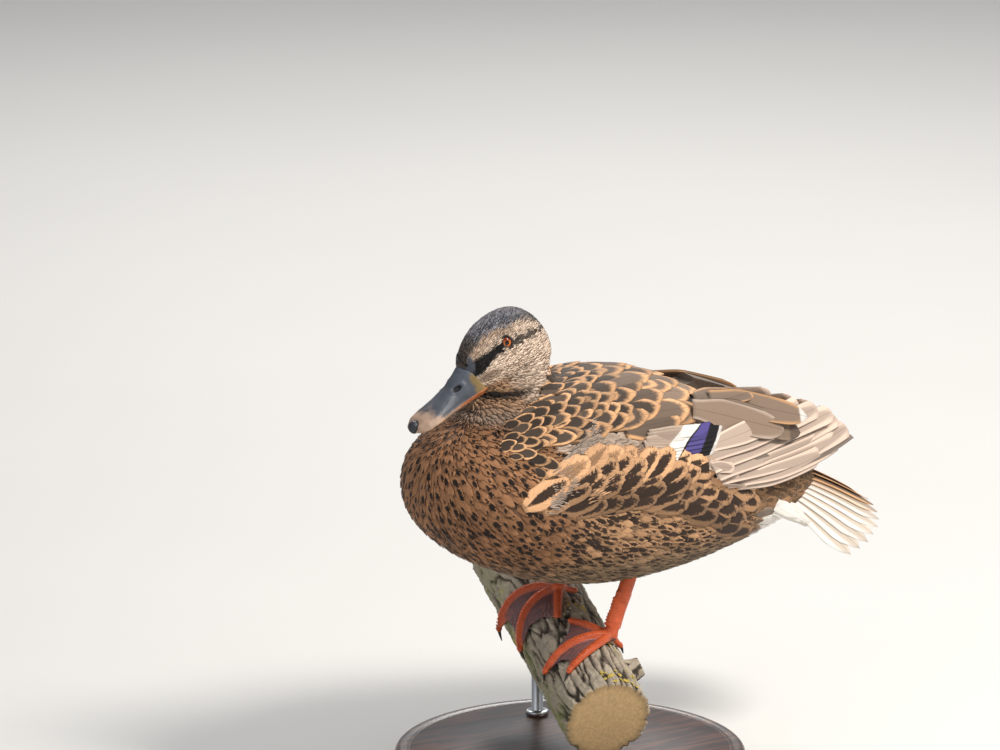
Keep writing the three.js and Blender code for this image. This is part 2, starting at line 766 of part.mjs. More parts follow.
function addPerchAndStand() {
  const places = rodPlaces();
  const rings = [PERCH.nearEnd, PERCH.farEnd].map((along) =>
    Array.from({ length: BRANCH_SIDES }, (_, k) =>
      perchPoint(along, (2 * Math.PI * k) / BRANCH_SIDES, PERCH.radius),
    ),
  );
  const stub = new THREE.CylinderGeometry(STUB.endRadius, STUB.radius, STUB.length, 12);
  stub.rotateX(Math.PI / 2).translate(0, 0, STUB.length / 2).rotateX(-STUB.angle);
  stub.translate(STUB.along, 0, 0);
  const holes = places.map(({ x, y, top }) =>
    seenFrom(perch, rodHole(x, y, BASE.thickness, top + GAP), model),
  );
  piece(perch, "perch_branch", cut(join(loft(rings), stub), ...holes), finish.bark);

  const { radius, thickness, edge, chamfer, sides } = BASE;
  const profile = [new THREE.Vector2(0, 0), new THREE.Vector2(radius - chamfer, 0)];
  profile.push(new THREE.Vector2(radius, chamfer));
  for (let i = 0; i <= 3; i++) {
    const angle = (Math.PI * i) / 6;
    profile.push(
      new THREE.Vector2(
        radius - edge + edge * Math.cos(angle),
        thickness - edge + edge * Math.sin(angle),
      ),
    );
  }
  profile.push(new THREE.Vector2(0, thickness));
  const base = new THREE.LatheGeometry(profile, sides).rotateX(Math.PI / 2);
  const sockets = places.map(({ x, y }) =>
    rodHole(x, y, thickness - BASE.socket, thickness + 1),
  );
  piece(model, "stand_base", cut(base, ...sockets), finish.base);

  places.forEach(({ x, y, top }, i) => {
    const { radius: r, collarRadius, collarHeight } = ROD;
    const foot = thickness - BASE.socket + GAP;
    const collar = thickness + GAP;
    const outline = [
      [0, foot],
      [r, foot],
      [r, collar],
      [collarRadius, collar],
      [collarRadius, collar + collarHeight - 1],
      [collarRadius - 1, collar + collarHeight],
      [r, collar + collarHeight],
      [r, top],
      [0, top],
    ].map(([across, height]) => new THREE.Vector2(across, height));
    const rod = new THREE.LatheGeometry(outline, ROD.sides).rotateX(Math.PI / 2).translate(x, y, 0);
    piece(model, i === 0 ? "stand_rod_front" : "stand_rod_back", rod, finish.rod);
  });
}

addTrunk();
addWingsAndTail();
addHead();
addLeg("left", THIGH.endLeft);
addLeg("right", THIGH.endRight);
addPerchAndStand();

export default model;
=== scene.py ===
"""A life-size still hen mallard on a short cut branch over a round wooden base.

Every size is in millimetres and in the frame of the solid model: +Z up, the bird faces -X and its
left side is -Y. Places on the head are in its own frame: along the bill, to the bird's left, up.
"""

import math
from contextlib import contextmanager
from types import SimpleNamespace

import bmesh
import bpy
import numpy as np
from bpy.props import FloatProperty, FloatVectorProperty, IntProperty, PointerProperty
from mathutils import Matrix, Vector, kdtree, noise
from mathutils.bvhtree import BVHTree


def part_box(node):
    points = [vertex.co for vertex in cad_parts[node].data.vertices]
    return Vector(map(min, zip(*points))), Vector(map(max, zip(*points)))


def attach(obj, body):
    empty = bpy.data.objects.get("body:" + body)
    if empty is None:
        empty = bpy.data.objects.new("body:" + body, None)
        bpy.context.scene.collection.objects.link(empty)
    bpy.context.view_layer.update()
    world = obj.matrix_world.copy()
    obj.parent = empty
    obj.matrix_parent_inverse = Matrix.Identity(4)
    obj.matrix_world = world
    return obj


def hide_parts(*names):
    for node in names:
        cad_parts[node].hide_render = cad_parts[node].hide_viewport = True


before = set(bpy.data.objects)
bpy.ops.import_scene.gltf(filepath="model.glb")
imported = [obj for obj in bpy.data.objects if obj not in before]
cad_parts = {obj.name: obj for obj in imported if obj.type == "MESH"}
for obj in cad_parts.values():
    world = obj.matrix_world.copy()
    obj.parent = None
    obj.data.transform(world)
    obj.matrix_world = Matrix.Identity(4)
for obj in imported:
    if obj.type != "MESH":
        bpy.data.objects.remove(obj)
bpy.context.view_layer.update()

bl_info = {
    "name": "Still hen mallard",
    "version": (1, 0, 0),
    "blender": (4, 5, 0),
    "location": "3D View > Sidebar > Mallard",
    "description": "Builds a still hen mallard on a cut branch over a round base",
    "category": "Add Mesh",
}

MM = 0.001
BODY_LEVEL = 101.6  # the height that the body's own heights count from
UP = np.array((0.0, 0.0, 1.0))
NEVER = 9.0  # a place past the end of any feather
made = {}  # surfaces that later steps lay feathers on, by the step that made them


def surface_of(step):
    """The surface that an earlier step made."""
    if step not in made:
        raise RuntimeError(f"Build the {step} first")
    return made[step]


def paint(red, green, blue):
    """A colour as it looks on screen, 0 to 255, in linear light."""
    shares = np.array((red, green, blue)) / 255
    return tuple(np.where(shares < 0.04045, shares / 12.92, ((shares + 0.055) / 1.055) ** 2.4))


def tone(name, red, green, blue):
    """A colour that a user can change."""
    return FloatVectorProperty(
        name=name, description="Colour of the " + name.lower(), subtype="COLOR", size=3,
        min=0, max=1, default=paint(red, green, blue),
    )


def length(name, description, default):
    """A size in millimetres that a user can change."""
    return FloatProperty(name=name, description=description + ", in mm", default=default, min=0)


class HenTones(bpy.types.PropertyGroup):
    """Colours of the bird."""

    breast: tone("Breast ground", 160, 114, 80)
    breast_spot: tone("Breast spots", 36, 27, 23)
    flank: tone("Flank edges", 200, 154, 114)
    flank_centre: tone("Flank centres", 60, 45, 36)
    belly: tone("Belly ground", 152, 128, 100)
    belly_streak: tone("Belly streaks", 62, 48, 38)
    back_edge: tone("Back feather edges", 206, 158, 114)
    back_centre: tone("Back feather centres", 50, 40, 33)
    covert: tone("Wing coverts", 184, 162, 144)
    quill: tone("Wing quills", 186, 165, 149)
    tertial: tone("Tertials", 146, 124, 106)
    speculum: tone("Speculum", 84, 74, 136)
    black: tone("Black bars", 26, 22, 24)
    white: tone("White feathers", 240, 234, 226)
    crown: tone("Crown", 44, 42, 46)
    # Crown sheen is a painted sheen: a lighter, bluer colour painted on the top of the crown as if lit.
    crown_painted_sheen: tone("Crown painted sheen", 122, 130, 146)
    cheek: tone("Cheek ground", 250, 224, 200)
    cheek_streak: tone("Cheek streaks", 128, 104, 86)
    eye_stripe: tone("Eye stripe", 15, 11, 10)
    throat: tone("Throat", 176, 136, 102)
    neck: tone("Neck ground", 152, 132, 116)
    neck_streak: tone("Neck streaks", 64, 50, 42)
    bill: tone("Bill", 74, 79, 88)
    bill_tip: tone("Bill towards the tip", 184, 152, 128)
    bill_base: tone("Bill base", 146, 118, 62)
    bill_lip: tone("Bill lip", 204, 118, 66)
    nail: tone("Nail", 42, 44, 50)
    iris: tone("Iris", 206, 112, 46)
    leg: tone("Legs", 212, 92, 44)
    web: tone("Webs", 96, 84, 88)
    claw: tone("Claws", 30, 25, 24)


class HenSizes(bpy.types.PropertyGroup):
    """Sizes of the bird's coat."""

    face_spacing: length("Face spacing", "Distance between the feathers of the face", 1.15)
    neck_spacing: length("Neck spacing", "Distance between the feathers of the neck", 1.5)
    body_spacing: length("Body spacing", "Distance between the feathers of the breast", 4.3)
    skin_detail: length("Skin detail", "Edge of one face of the skin", 2.1)
    leg_detail: length("Leg detail", "Edge of one face of the bare legs", 0.55)
    bill_detail: length("Bill detail", "Edge of one face of the bill", 0.42)
    seed: IntProperty(name="Seed", description="Start of all random choices", default=11, min=0)


class StandLooks(bpy.types.PropertyGroup):
    """Sizes and colours of the branch and the stand."""

    bark: tone("Bark", 176, 163, 144)
    furrow: tone("Bark furrows", 62, 52, 42)
    moss: tone("Green film", 116, 122, 66)
    lichen: tone("Lichen", 196, 172, 84)
    sapwood: tone("Cut ends", 206, 172, 124)
    walnut: tone("Base wood", 92, 56, 34)
    walnut_vein: tone("Base wood veins", 48, 27, 17)
    floor: tone("Floor", 226, 224, 220)
    furrow_depth: length("Furrow depth", "Depth of the bark's furrows", 2.2)


# ---- Places and directions ----


class Frame:
    """A turned frame: first tilted about its Y axis, then turned about Z, at a place."""

    def __init__(self, place, turn, tilt):
        turned = Matrix.Rotation(math.radians(turn), 3, "Z") @ Matrix.Rotation(math.radians(tilt), 3, "Y")
        self.place = np.array(place, float)
        self.axes = np.array(turned)

    def inside(self, points):
        return (np.asarray(points, float) - self.place) @ self.axes

    def out(self, points):
        return np.asarray(points, float) @ self.axes.T + self.place


HEAD = Frame((-76, 0, 166 + BODY_LEVEL), turn=185, tilt=20)
EYE = SimpleNamespace(place=(-24.4, 11.5, 22.9), radius=5.5, gaze=(0.31, 0.94, 0.13), opening=43)
BILL_ROOT = HEAD.out((14, 0, 7))
NECK_BASE = np.array((-60, 0, 125 + BODY_LEVEL))
NOSTRIL = (17.0, 5.0, 9.6)
# Heights at the face, and where along the head its feathers and the horn under them end.
FACE_EDGE = ([-9, 0, 3.5, 11, 16, 19.4, 22], [9, 0.5, 3.0, 3.6, 2.2, 1.0, 0.6])
HORN_EDGE = ([0, 12, 15, 18.5, 20], [0.2, 0.8, 2.2, 5.0, 6.0])
# Along the body, and the height over the body level where the cheek rests on the neck.
CHIN_LINE = ([-78, -71, -59.5, -52, -42.5], [160, 160.6, 161.5, 163, 165.4])
# Heights over the body level, and where along the body the back's feathers start behind the neck.
MANTLE_EDGE = (
    [130, 133, 139, 143, 148, 153, 157, 160, 167, 172],
    [-74, -77, -75.5, -69, -64, -56, -43, -34.5, -25, -15],
)

PERCH = Frame((-0.13, -14.4, 65.8), turn=74, tilt=-19)
BRANCH = SimpleNamespace(radius=29, near=-50, far=150)
STUB = SimpleNamespace(along=-16, angle=-1.15, radius=8, end_radius=6.4, length=36)


def random_from(step):
    """Random numbers of one step, from the seed in the sizes."""
    return np.random.default_rng(bpy.context.scene.hen_sizes.seed + step)


def unit(vectors):
    return vectors / np.maximum(np.linalg.norm(vectors, axis=-1, keepdims=True), 1e-9)


def ramp(low, high, values):
    """0 at low, 1 at high, with a smooth step between."""
    share = np.clip((np.asarray(values, float) - low) / (high - low), 0, 1)
    return share * share * (3 - 2 * share)


def blend(first, second, share):
    return first + (second - first) * np.asarray(share)[..., None]


def lighter(colour, factor):
    return np.minimum(colour * factor, 1)


def across(vectors, normals):
    """The vectors laid flat on surfaces with these normals."""
    return unit(vectors - normals * (vectors * normals).sum(-1, keepdims=True))


def body_flow(points):
    """The lie of the coat on the body: away from the neck and towards the tail."""
    return unit(unit(points - NECK_BASE) + np.array((0.55, 0, 0)))


def head_flow(points):
    """The lie of the coat on the head and neck: away from the bill and down the neck."""
    down = ramp(270, 240, points[:, 2])
    return unit(unit(points - BILL_ROOT) - 0.7 * down[:, None] * UP)


def on_head(points):
    """1 on the head and neck, 0 on the body."""
    return ramp(236, 256, points[:, 2]) * ramp(5, -15, points[:, 0])


def flow(points):
    return unit(blend(body_flow(points), head_flow(points), on_head(points)))


def past_face(points):
    """How far points lie in front of the face's feathers, on the bill."""
    ahead, side, height = HEAD.inside(points).T
    edge = np.interp(height, *FACE_EDGE)
    middle = ramp(5.4, 4.2, np.abs(side)) * ramp(15, 18, height)
    return ahead - edge - (6.5 - edge) * middle


def chin_crease(points):
    """1 in the crease where the cheek rests on the neck, 0 away from it."""
    along, _, height = points.T
    gap = np.abs(height - BODY_LEVEL - np.interp(along, *CHIN_LINE))
    return ramp(3.4, 1.2, gap) * ramp(-36, -58, along)


def lip_level(ahead):
    """Height of the cut between the mandibles, in the head's frame."""
    droop = 3.2 * (np.maximum(ahead - 18, 0) / 37) ** 2
    return -1.2 * np.sin(math.pi * np.clip(ahead / 55, 0, 1)) - droop


# ---- Meshes ----


def read(items, field, width=3, kind=np.float32):
    values = np.empty(len(items) * width, kind)
    items.foreach_get(field, values)
    return values.reshape(-1, width) if width > 1 else values


def link(name, mesh):
    piece = bpy.data.objects.new(name, mesh)
    bpy.context.scene.collection.objects.link(piece)
    return piece


def mesh_from(name, points, loops, sizes):
    """A mesh from points in mm, the corners of all faces in one row, and each face's corner count."""
    mesh = bpy.data.meshes.new(name)
    mesh.vertices.add(len(points))
    mesh.vertices.foreach_set("co", (np.asarray(points, np.float64) * MM).astype(np.float32).ravel())
    mesh.loops.add(len(loops))
    mesh.loops.foreach_set("vertex_index", np.asarray(loops, np.int32))
    mesh.polygons.add(len(sizes))
    starts = np.concatenate(([0], np.cumsum(sizes)[:-1]))
    mesh.polygons.foreach_set("loop_start", starts.astype(np.int32))
    mesh.update(calc_edges=True)
    mesh.shade_smooth()
    return mesh


def set_attribute(mesh, name, values):
    """Colours (4 wide), vectors (3 wide) or numbers at the points."""
    values = np.asarray(values, np.float32)
    kinds = {4: ("FLOAT_COLOR", "color"), 3: ("FLOAT_VECTOR", "vector"), 1: ("FLOAT", "value")}
    kind, field = kinds[values.shape[1] if values.ndim > 1 else 1]
    mesh.attributes.new(name, kind, "POINT").data.foreach_set(field, values.ravel())


def set_tone(mesh, shades):
    """The colour of each point, or one for all, as the attribute that the painted materials read."""
    shades = np.broadcast_to(shades, (len(mesh.vertices), 3))
    set_attribute(mesh, "tone", np.column_stack((shades, np.ones(len(shades)))))


def set_uv(mesh, name, places):
    """A UV map from one place for each point."""
    corners = read(mesh.loops, "vertex_index", 1, np.int32)
    mesh.uv_layers.new(name=name).data.foreach_set("uv", places[corners].astype(np.float32).ravel())


@contextmanager
def edited(mesh):
    """The mesh opened for edits, which are written back at the end."""
    shape = bmesh.new()
    shape.from_mesh(mesh)
    yield shape
    shape.to_mesh(mesh)
    shape.free()


def faces_out(mesh):
    with edited(mesh) as shape:
        bmesh.ops.recalc_face_normals(shape, faces=shape.faces)
    mesh.shade_smooth()
    return mesh


def node_copy(*nodes, grow=0.0):
    """One merged mesh of these nodes' solids, with every point moved out by grow."""
    whole = bpy.data.meshes.new(nodes[0] + "_copy")
    with edited(whole) as shape:
        for node in nodes:
            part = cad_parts[node].data.copy()
            with edited(part) as corners:
                bmesh.ops.remove_doubles(corners, verts=corners.verts, dist=0.01 * MM)
                corners.normal_update()
                for vertex in corners.verts:
                    vertex.co += vertex.normal * grow * MM
            shape.from_mesh(part)
            bpy.data.meshes.remove(part)
    return whole


def applied(piece, *modifiers):
    """The piece with modifiers applied; each is a kind and its settings."""
    for kind, settings in modifiers:
        modifier = piece.modifiers.new(kind.lower(), kind)
        for field, value in settings.items():
            setattr(modifier, field, value)
    return evaluated(piece)


def evaluated(piece):
    bpy.context.view_layer.update()
    shape = bpy.data.meshes.new_from_object(piece.evaluated_get(bpy.context.evaluated_depsgraph_get()))
    piece.modifiers.clear()
    old = piece.data
    piece.data = shape
    bpy.data.meshes.remove(old)
    return piece


def keep_largest(mesh):
    """Drops all but the largest connected shell."""
    with edited(mesh) as shape:
        shells, seen = [], set()
        for start in shape.verts:
            if start in seen:
                continue
            shell, edge = {start}, [start]
            while edge:
                near = {vertex for line in edge.pop().link_edges for vertex in line.verts} - shell
                shell |= near
                edge += near
            seen |= shell
            shells.append(shell)
        largest = max(shells, key=len)
        bmesh.ops.delete(shape, geom=[v for v in shape.verts if v not in largest], context="VERTS")


def remeshed(name, mesh, detail, smoothing, whole=False):
    """An even, smooth skin over a mesh."""
    piece = link(name, mesh)
    applied(
        piece,
        ("REMESH", {"mode": "VOXEL", "voxel_size": detail * MM}),
        ("SMOOTH", {"factor": 0.5, "iterations": smoothing}),
    )
    if not whole:
        keep_largest(piece.data)
    piece.data.shade_smooth()
    return piece


def joined(pieces):
    """Joins pieces into the first one."""
    with bpy.context.temp_override(
        active_object=pieces[0], selected_editable_objects=pieces, object=pieces[0]
    ):
        bpy.ops.object.join()
    return pieces[0]


def dress(piece, material):
    piece.data.materials.clear()
    piece.data.materials.append(material)


def ready(piece, slot, *nodes, material=None):
    """Gives a finished piece its body and its material and hides the nodes it stands for; slot is not used.
    """
    if material:
        dress(piece, material)
    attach(piece, "root")
    if nodes:
        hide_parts(*nodes)


class Surface:
    """A mesh that feathers are laid on."""

    def __init__(self, mesh):
        self.points = read(mesh.vertices, "co") / MM
        corners = read(mesh.loops, "vertex_index", 1, np.int32)
        starts = read(mesh.polygons, "loop_start", 1, np.int32)
        counts = read(mesh.polygons, "loop_total", 1, np.int32)
        faces = [corners[s : s + n].tolist() for s, n in zip(starts, counts)]
        self.tree = BVHTree.FromPolygons(self.points.tolist(), faces)
        soft = read(mesh.vertices, "normal")[corners]
        self.normals = unit(np.add.reduceat(soft, starts, axis=0))
        mesh.calc_loop_triangles()
        self.triangles = read(mesh.loop_triangles, "vertices", 3, np.int32)
        self.owners = read(mesh.loop_triangles, "polygon_index", 1, np.int32)
        self.labels = np.zeros(len(starts), int)

    def nearest(self, points):
        """The nearest places, with the surface's way out and the face at each."""
        flat = np.asarray(points, float).reshape(-1, 3)
        spots = np.empty_like(flat)
        faces = np.empty(len(flat), int)
        for i, point in enumerate(flat.tolist()):
            spot, _, face, _ = self.tree.find_nearest(point)
            spots[i] = spot
            faces[i] = face
        shape = np.shape(points)
        return spots.reshape(shape), self.normals[faces].reshape(shape), faces.reshape(shape[:-1])

    def cast(self, starts, way, groups=()):
        """Where rays along one way, or one way each, first meet the surface.

        A miss is NaN, and so is a place outside the groups, where any are named.
        """
        spots = np.full((len(starts), 3), np.nan)
        normals = np.full((len(starts), 3), np.nan)
        ways = np.broadcast_to(way, (len(starts), 3))
        wanted = [LABELS[group] for group in groups]
        for i, (start, each) in enumerate(zip(starts.tolist(), ways.tolist())):
            spot, _, face, _ = self.tree.ray_cast(start, each)
            if spot is not None and (not wanted or self.labels[face] in wanted):
                spots[i] = spot
                normals[i] = self.normals[face]
        return spots, normals

    def scatter(self, count, groups, step):
        """Random even places on the faces of these groups, with labels."""
        corners = self.points[self.triangles]
        wanted = np.isin(self.labels[self.owners], [LABELS[group] for group in groups])
        corners = corners[wanted]
        owners = self.owners[wanted]
        edges = corners[:, 1:] - corners[:, :1]
        areas = np.linalg.norm(np.cross(edges[:, 0], edges[:, 1]), axis=1)
        chance = random_from(step)
        picked = chance.choice(len(areas), int(count * areas.sum() / 2), p=areas / areas.sum())
        first, second = chance.random((2, len(picked), 1))
        over = first + second > 1
        first, second = np.where(over, 1 - first, first), np.where(over, 1 - second, second)
        a, b, c = corners[picked].transpose(1, 0, 2)
        return a + first * (b - a) + second * (c - a), self.labels[owners[picked]]


def point_tree(points):
    tree = kdtree.KDTree(len(points))
    for i, point in enumerate(points):
        tree.insert(point, i)
    tree.balance()
    return tree


def thinned(points, spacing):
    """Indices of points that keep their own spacing from each other."""
    tree = point_tree(points)
    free = np.ones(len(points), bool)
    kept = []
    for i, point in enumerate(points):
        if free[i]:
            kept.append(i)
            free[[j for _, j, _ in tree.find_range(point, spacing[i])]] = False
    return np.array(kept)


# ---- Materials ----


class Wiring:
    """A node tree, built from short calls that return sockets."""

    def __init__(self, tree):
        self.tree = tree

    def node(self, kind, inputs=(), **fields):
        node = self.tree.nodes.new(kind)
        for field, value in fields.items():
            setattr(node, field, value)
        for socket, value in dict(inputs).items():
            self.give(node.inputs[socket], value)
        return node

    def output(self, kind, inputs=(), **fields):
        """The first output in use of a new node."""
        return next(socket for socket in self.node(kind, inputs, **fields).outputs if socket.enabled)

    def give(self, socket, value):
        if isinstance(value, bpy.types.NodeSocket):
            self.tree.links.new(value, socket)
        elif socket.type == "RGBA":
            socket.default_value = (*value[:3], 1)
        else:
            socket.default_value = value


class Graph(Wiring):
    """A material's node tree."""

    def __init__(self, name, **settings):
        self.material = bpy.data.materials.new(name)
        self.material.use_nodes = True
        super().__init__(self.material.node_tree)
        self.shader = self.tree.nodes["Principled BSDF"]
        for socket, value in settings.items():
            self.shader.inputs[socket.replace("_", " ")].default_value = value

    def math(self, operation, *values):
        return self.node("ShaderNodeMath", enumerate(values), operation=operation).outputs[0]

    def split(self, vector):
        return self.node("ShaderNodeSeparateXYZ", {0: vector}).outputs

    def vector(self, *values):
        return self.node("ShaderNodeCombineXYZ", enumerate(values)).outputs[0]

    def vector_math(self, operation, *values):
        return self.node("ShaderNodeVectorMath", enumerate(values), operation=operation).outputs

    def step(self, low, high, value):
        """0 at low and 1 at high, smooth between."""
        inputs = {"Value": value, "From Min": low, "From Max": high}
        return self.node("ShaderNodeMapRange", inputs, interpolation_type="SMOOTHSTEP").outputs[0]

    def mix(self, share, first, second, blend_type="MIX"):
        node = self.node("ShaderNodeMix", data_type="RGBA", blend_type=blend_type)
        self.give(node.inputs[0], share)
        self.give(node.inputs[6], first)
        self.give(node.inputs[7], second)
        return node.outputs[2]

    def attribute(self, name):
        return self.node("ShaderNodeAttribute", attribute_name=name).outputs

    def place(self, scale=(1, 1, 1), turn=(0, 0, 0)):
        """Object coordinates in metres, scaled and turned."""
        source = self.node("ShaderNodeTexCoord").outputs["Object"]
        inputs = {"Vector": source, "Scale": scale, "Rotation": turn}
        return self.node("ShaderNodeMapping", inputs).outputs[0]

    def noise(self, vector, scale, detail=3.0, roughness=0.5):
        inputs = {"Vector": vector, "Scale": scale, "Detail": detail, "Roughness": roughness}
        return self.node("ShaderNodeTexNoise", inputs).outputs["Fac"]

    def bump(self, height, strength, distance):
        """Relief of this height, distance in mm."""
        inputs = {"Height": height, "Strength": strength, "Distance": distance * MM}
        self.give(self.shader.inputs["Normal"], self.node("ShaderNodeBump", inputs).outputs[0])

    def finish(self, colour, rough=None):
        self.give(self.shader.inputs["Base Color"], colour)
        if rough is not None:
            self.give(self.shader.inputs["Roughness"], rough)
        return self.material


def varied(graph, colour, value, depth):
    """The colour made lighter and darker by a value around 0.5."""
    shade = graph.math("MULTIPLY_ADD", value, 2 * depth, 1 - depth)
    grey = graph.node("ShaderNodeCombineColor", {0: shade, 1: shade, 2: shade}).outputs[0]
    return graph.mix(1.0, colour, grey, "MULTIPLY")


def feather_material(name, roughness, softness, streaks, sheen=0.05, coat=0.0, rim=0.0, variation=0.2):
    """Centre, edge, bar and tip of a feather, from its vane map and its own colours.

    softness frays the marks' edges, streaks parts the barbs into lighter and darker ones, rim paints
    shade as a dark seam along the very edge, and variation sets the feathers apart from each other.
    """
    graph = Graph(name, Sheen_Weight=sheen, Sheen_Roughness=0.5, Coat_Weight=coat)
    graph.shader.inputs["Specular IOR Level"].default_value = 0.22
    vane = graph.node("ShaderNodeUVMap", uv_map="vane").outputs[0]
    along, spread, _ = graph.split(vane)
    beside = graph.math("ABSOLUTE", graph.math("MULTIPLY_ADD", spread, 2.0, -1.0))
    core, edge, bar, tip = (graph.attribute(part) for part in ("core", "edge", "bar", "tip"))
    mark = graph.split(graph.attribute("mark")["Vector"])
    chance, ringed, size = graph.split(graph.attribute("grain")["Vector"])
    reach = graph.math("MULTIPLY", graph.math("SUBTRACT", along, graph.math("MULTIPLY", beside, 0.36)), size)
    barb = graph.vector(
        graph.math("MULTIPLY", reach, 1.2), graph.math("MULTIPLY", spread, 5.0),
        graph.math("MULTIPLY", chance, 40.0),
    )
    strand = graph.noise(barb, 1.0, 3.0, 0.6)
    fine = graph.noise(graph.vector_math("MULTIPLY", barb, (3.1, 0.9, 1.0))[0], 1.0, 2.0)
    flutter = graph.math("SUBTRACT", graph.noise(graph.place(), 480, 3, 0.6), 0.5)
    flutter = graph.math("ADD", flutter, graph.math("SUBTRACT", strand, 0.5))
    warped = graph.math("MULTIPLY_ADD", flutter, softness, along)
    aside = graph.math("MULTIPLY_ADD", flutter, softness, beside)
    ahead = graph.math("DIVIDE", graph.math("SUBTRACT", warped, mark[0]), mark[1])
    outward = graph.math("DIVIDE", aside, mark[2])
    squares = (graph.math("POWER", graph.math("ABSOLUTE", value), 2.2) for value in (ahead, outward))
    far = graph.math("SQRT", graph.math("ADD", *squares))
    centre = graph.step(1.12, 0.84, far)
    colour = graph.mix(centre, edge["Color"], core["Color"])
    ring = graph.math("MULTIPLY", graph.step(0.3, 0.44, far), graph.step(0.68, 0.56, far))
    colour = graph.mix(graph.math("MULTIPLY", ring, ringed), colour, edge["Color"])
    for part in (bar, tip):
        past = graph.step(-0.012, 0.012, graph.math("SUBTRACT", warped, part["Alpha"]))
        colour = graph.mix(past, colour, part["Color"])
    colour = varied(graph, colour, strand, streaks)
    colour = varied(graph, colour, fine, streaks * 0.7)
    shaft = graph.step(0.05, 0.015, beside)
    colour = graph.mix(graph.math("MULTIPLY", shaft, 0.3), colour, (0.05, 0.035, 0.025))
    # Painted shade: a dark line along the very edge stands for the seam where the next feather overlaps.
    if rim:
        painted_seam_shade = graph.math("MULTIPLY", graph.step(0.93, 0.975, beside), rim)
        colour = graph.mix(painted_seam_shade, colour, (0.03, 0.022, 0.018))
    graph.bump(fine, 0.35, 0.12)
    return graph.finish(varied(graph, colour, chance, variation), roughness)


def painted_material(name, grain_scale, depth, relief, stretch=(1, 1, 1), **settings):
    """The colours painted on a piece's points, broken up by a fine grain."""
    graph = Graph(name, **settings)
    value = graph.noise(graph.place(stretch), grain_scale, 5, 0.6)
    colour = varied(graph, graph.attribute("tone")["Color"], value, depth)
    fine = graph.noise(graph.place(stretch), grain_scale * 4, 3)
    graph.bump(graph.math("ADD", value, graph.math("MULTIPLY", fine, 0.5)), 0.6, relief)
    return graph.finish(colour)


# ---- Feathers ----


def vane_faces(rows, columns, solid):
    """The faces of one closed vane: a grid on top, and under it a plain back or a second grid."""
    grid = np.arange((rows + 1) * (columns + 1)).reshape(rows + 1, columns + 1)
    corners = (grid[:-1, :-1], grid[1:, :-1], grid[1:, 1:], grid[:-1, 1:])
    quads = np.stack(corners, axis=-1).reshape(-1, 4)
    left, right, root, end = grid[:, 0], grid[:, -1], grid[0], grid[-1]
    if not solid:
        backs = np.column_stack((left[1:-2], right[1:-2], right[2:-1], left[2:-1]))
        return [*quads, (*root, right[1], left[1]), *backs, (left[-2], right[-2], *end[::-1])]
    under = grid.size
    walls = [
        (a, b, under + b, under + a)
        for line in (left[::-1], right, root, end[::-1]) for a, b in zip(line, line[1:])
    ]
    return [*quads, *(quads[:, ::-1] + under), *walls]


def traced(surface, roots, aims, lengths, rows, follow):
    """Spines that walk over the surface from their roots: places, ways out and ways ahead."""
    place, normal, _ = surface.nearest(roots)
    ahead = across(aims, normal)
    places, normals, aheads = [place], [normal], [ahead]
    for _ in range(rows):
        place, normal, _ = surface.nearest(place + ahead * (lengths / rows)[:, None])
        ahead = across(ahead * (1 - follow) + across(flow(place), normal) * follow, normal)
        places.append(place)
        normals.append(normal)
        aheads.append(ahead)
    return tuple(np.stack(items, axis=1) for items in (places, normals, aheads))


def traced_back(surface, tips, aims, lengths, rows):
    """Spines that end at the tips, found by walking back over the surface."""
    places, normals, aheads = traced(surface, tips, -aims, lengths, rows, 0.0)
    return places[:, ::-1], normals[:, ::-1], -aheads[:, ::-1]


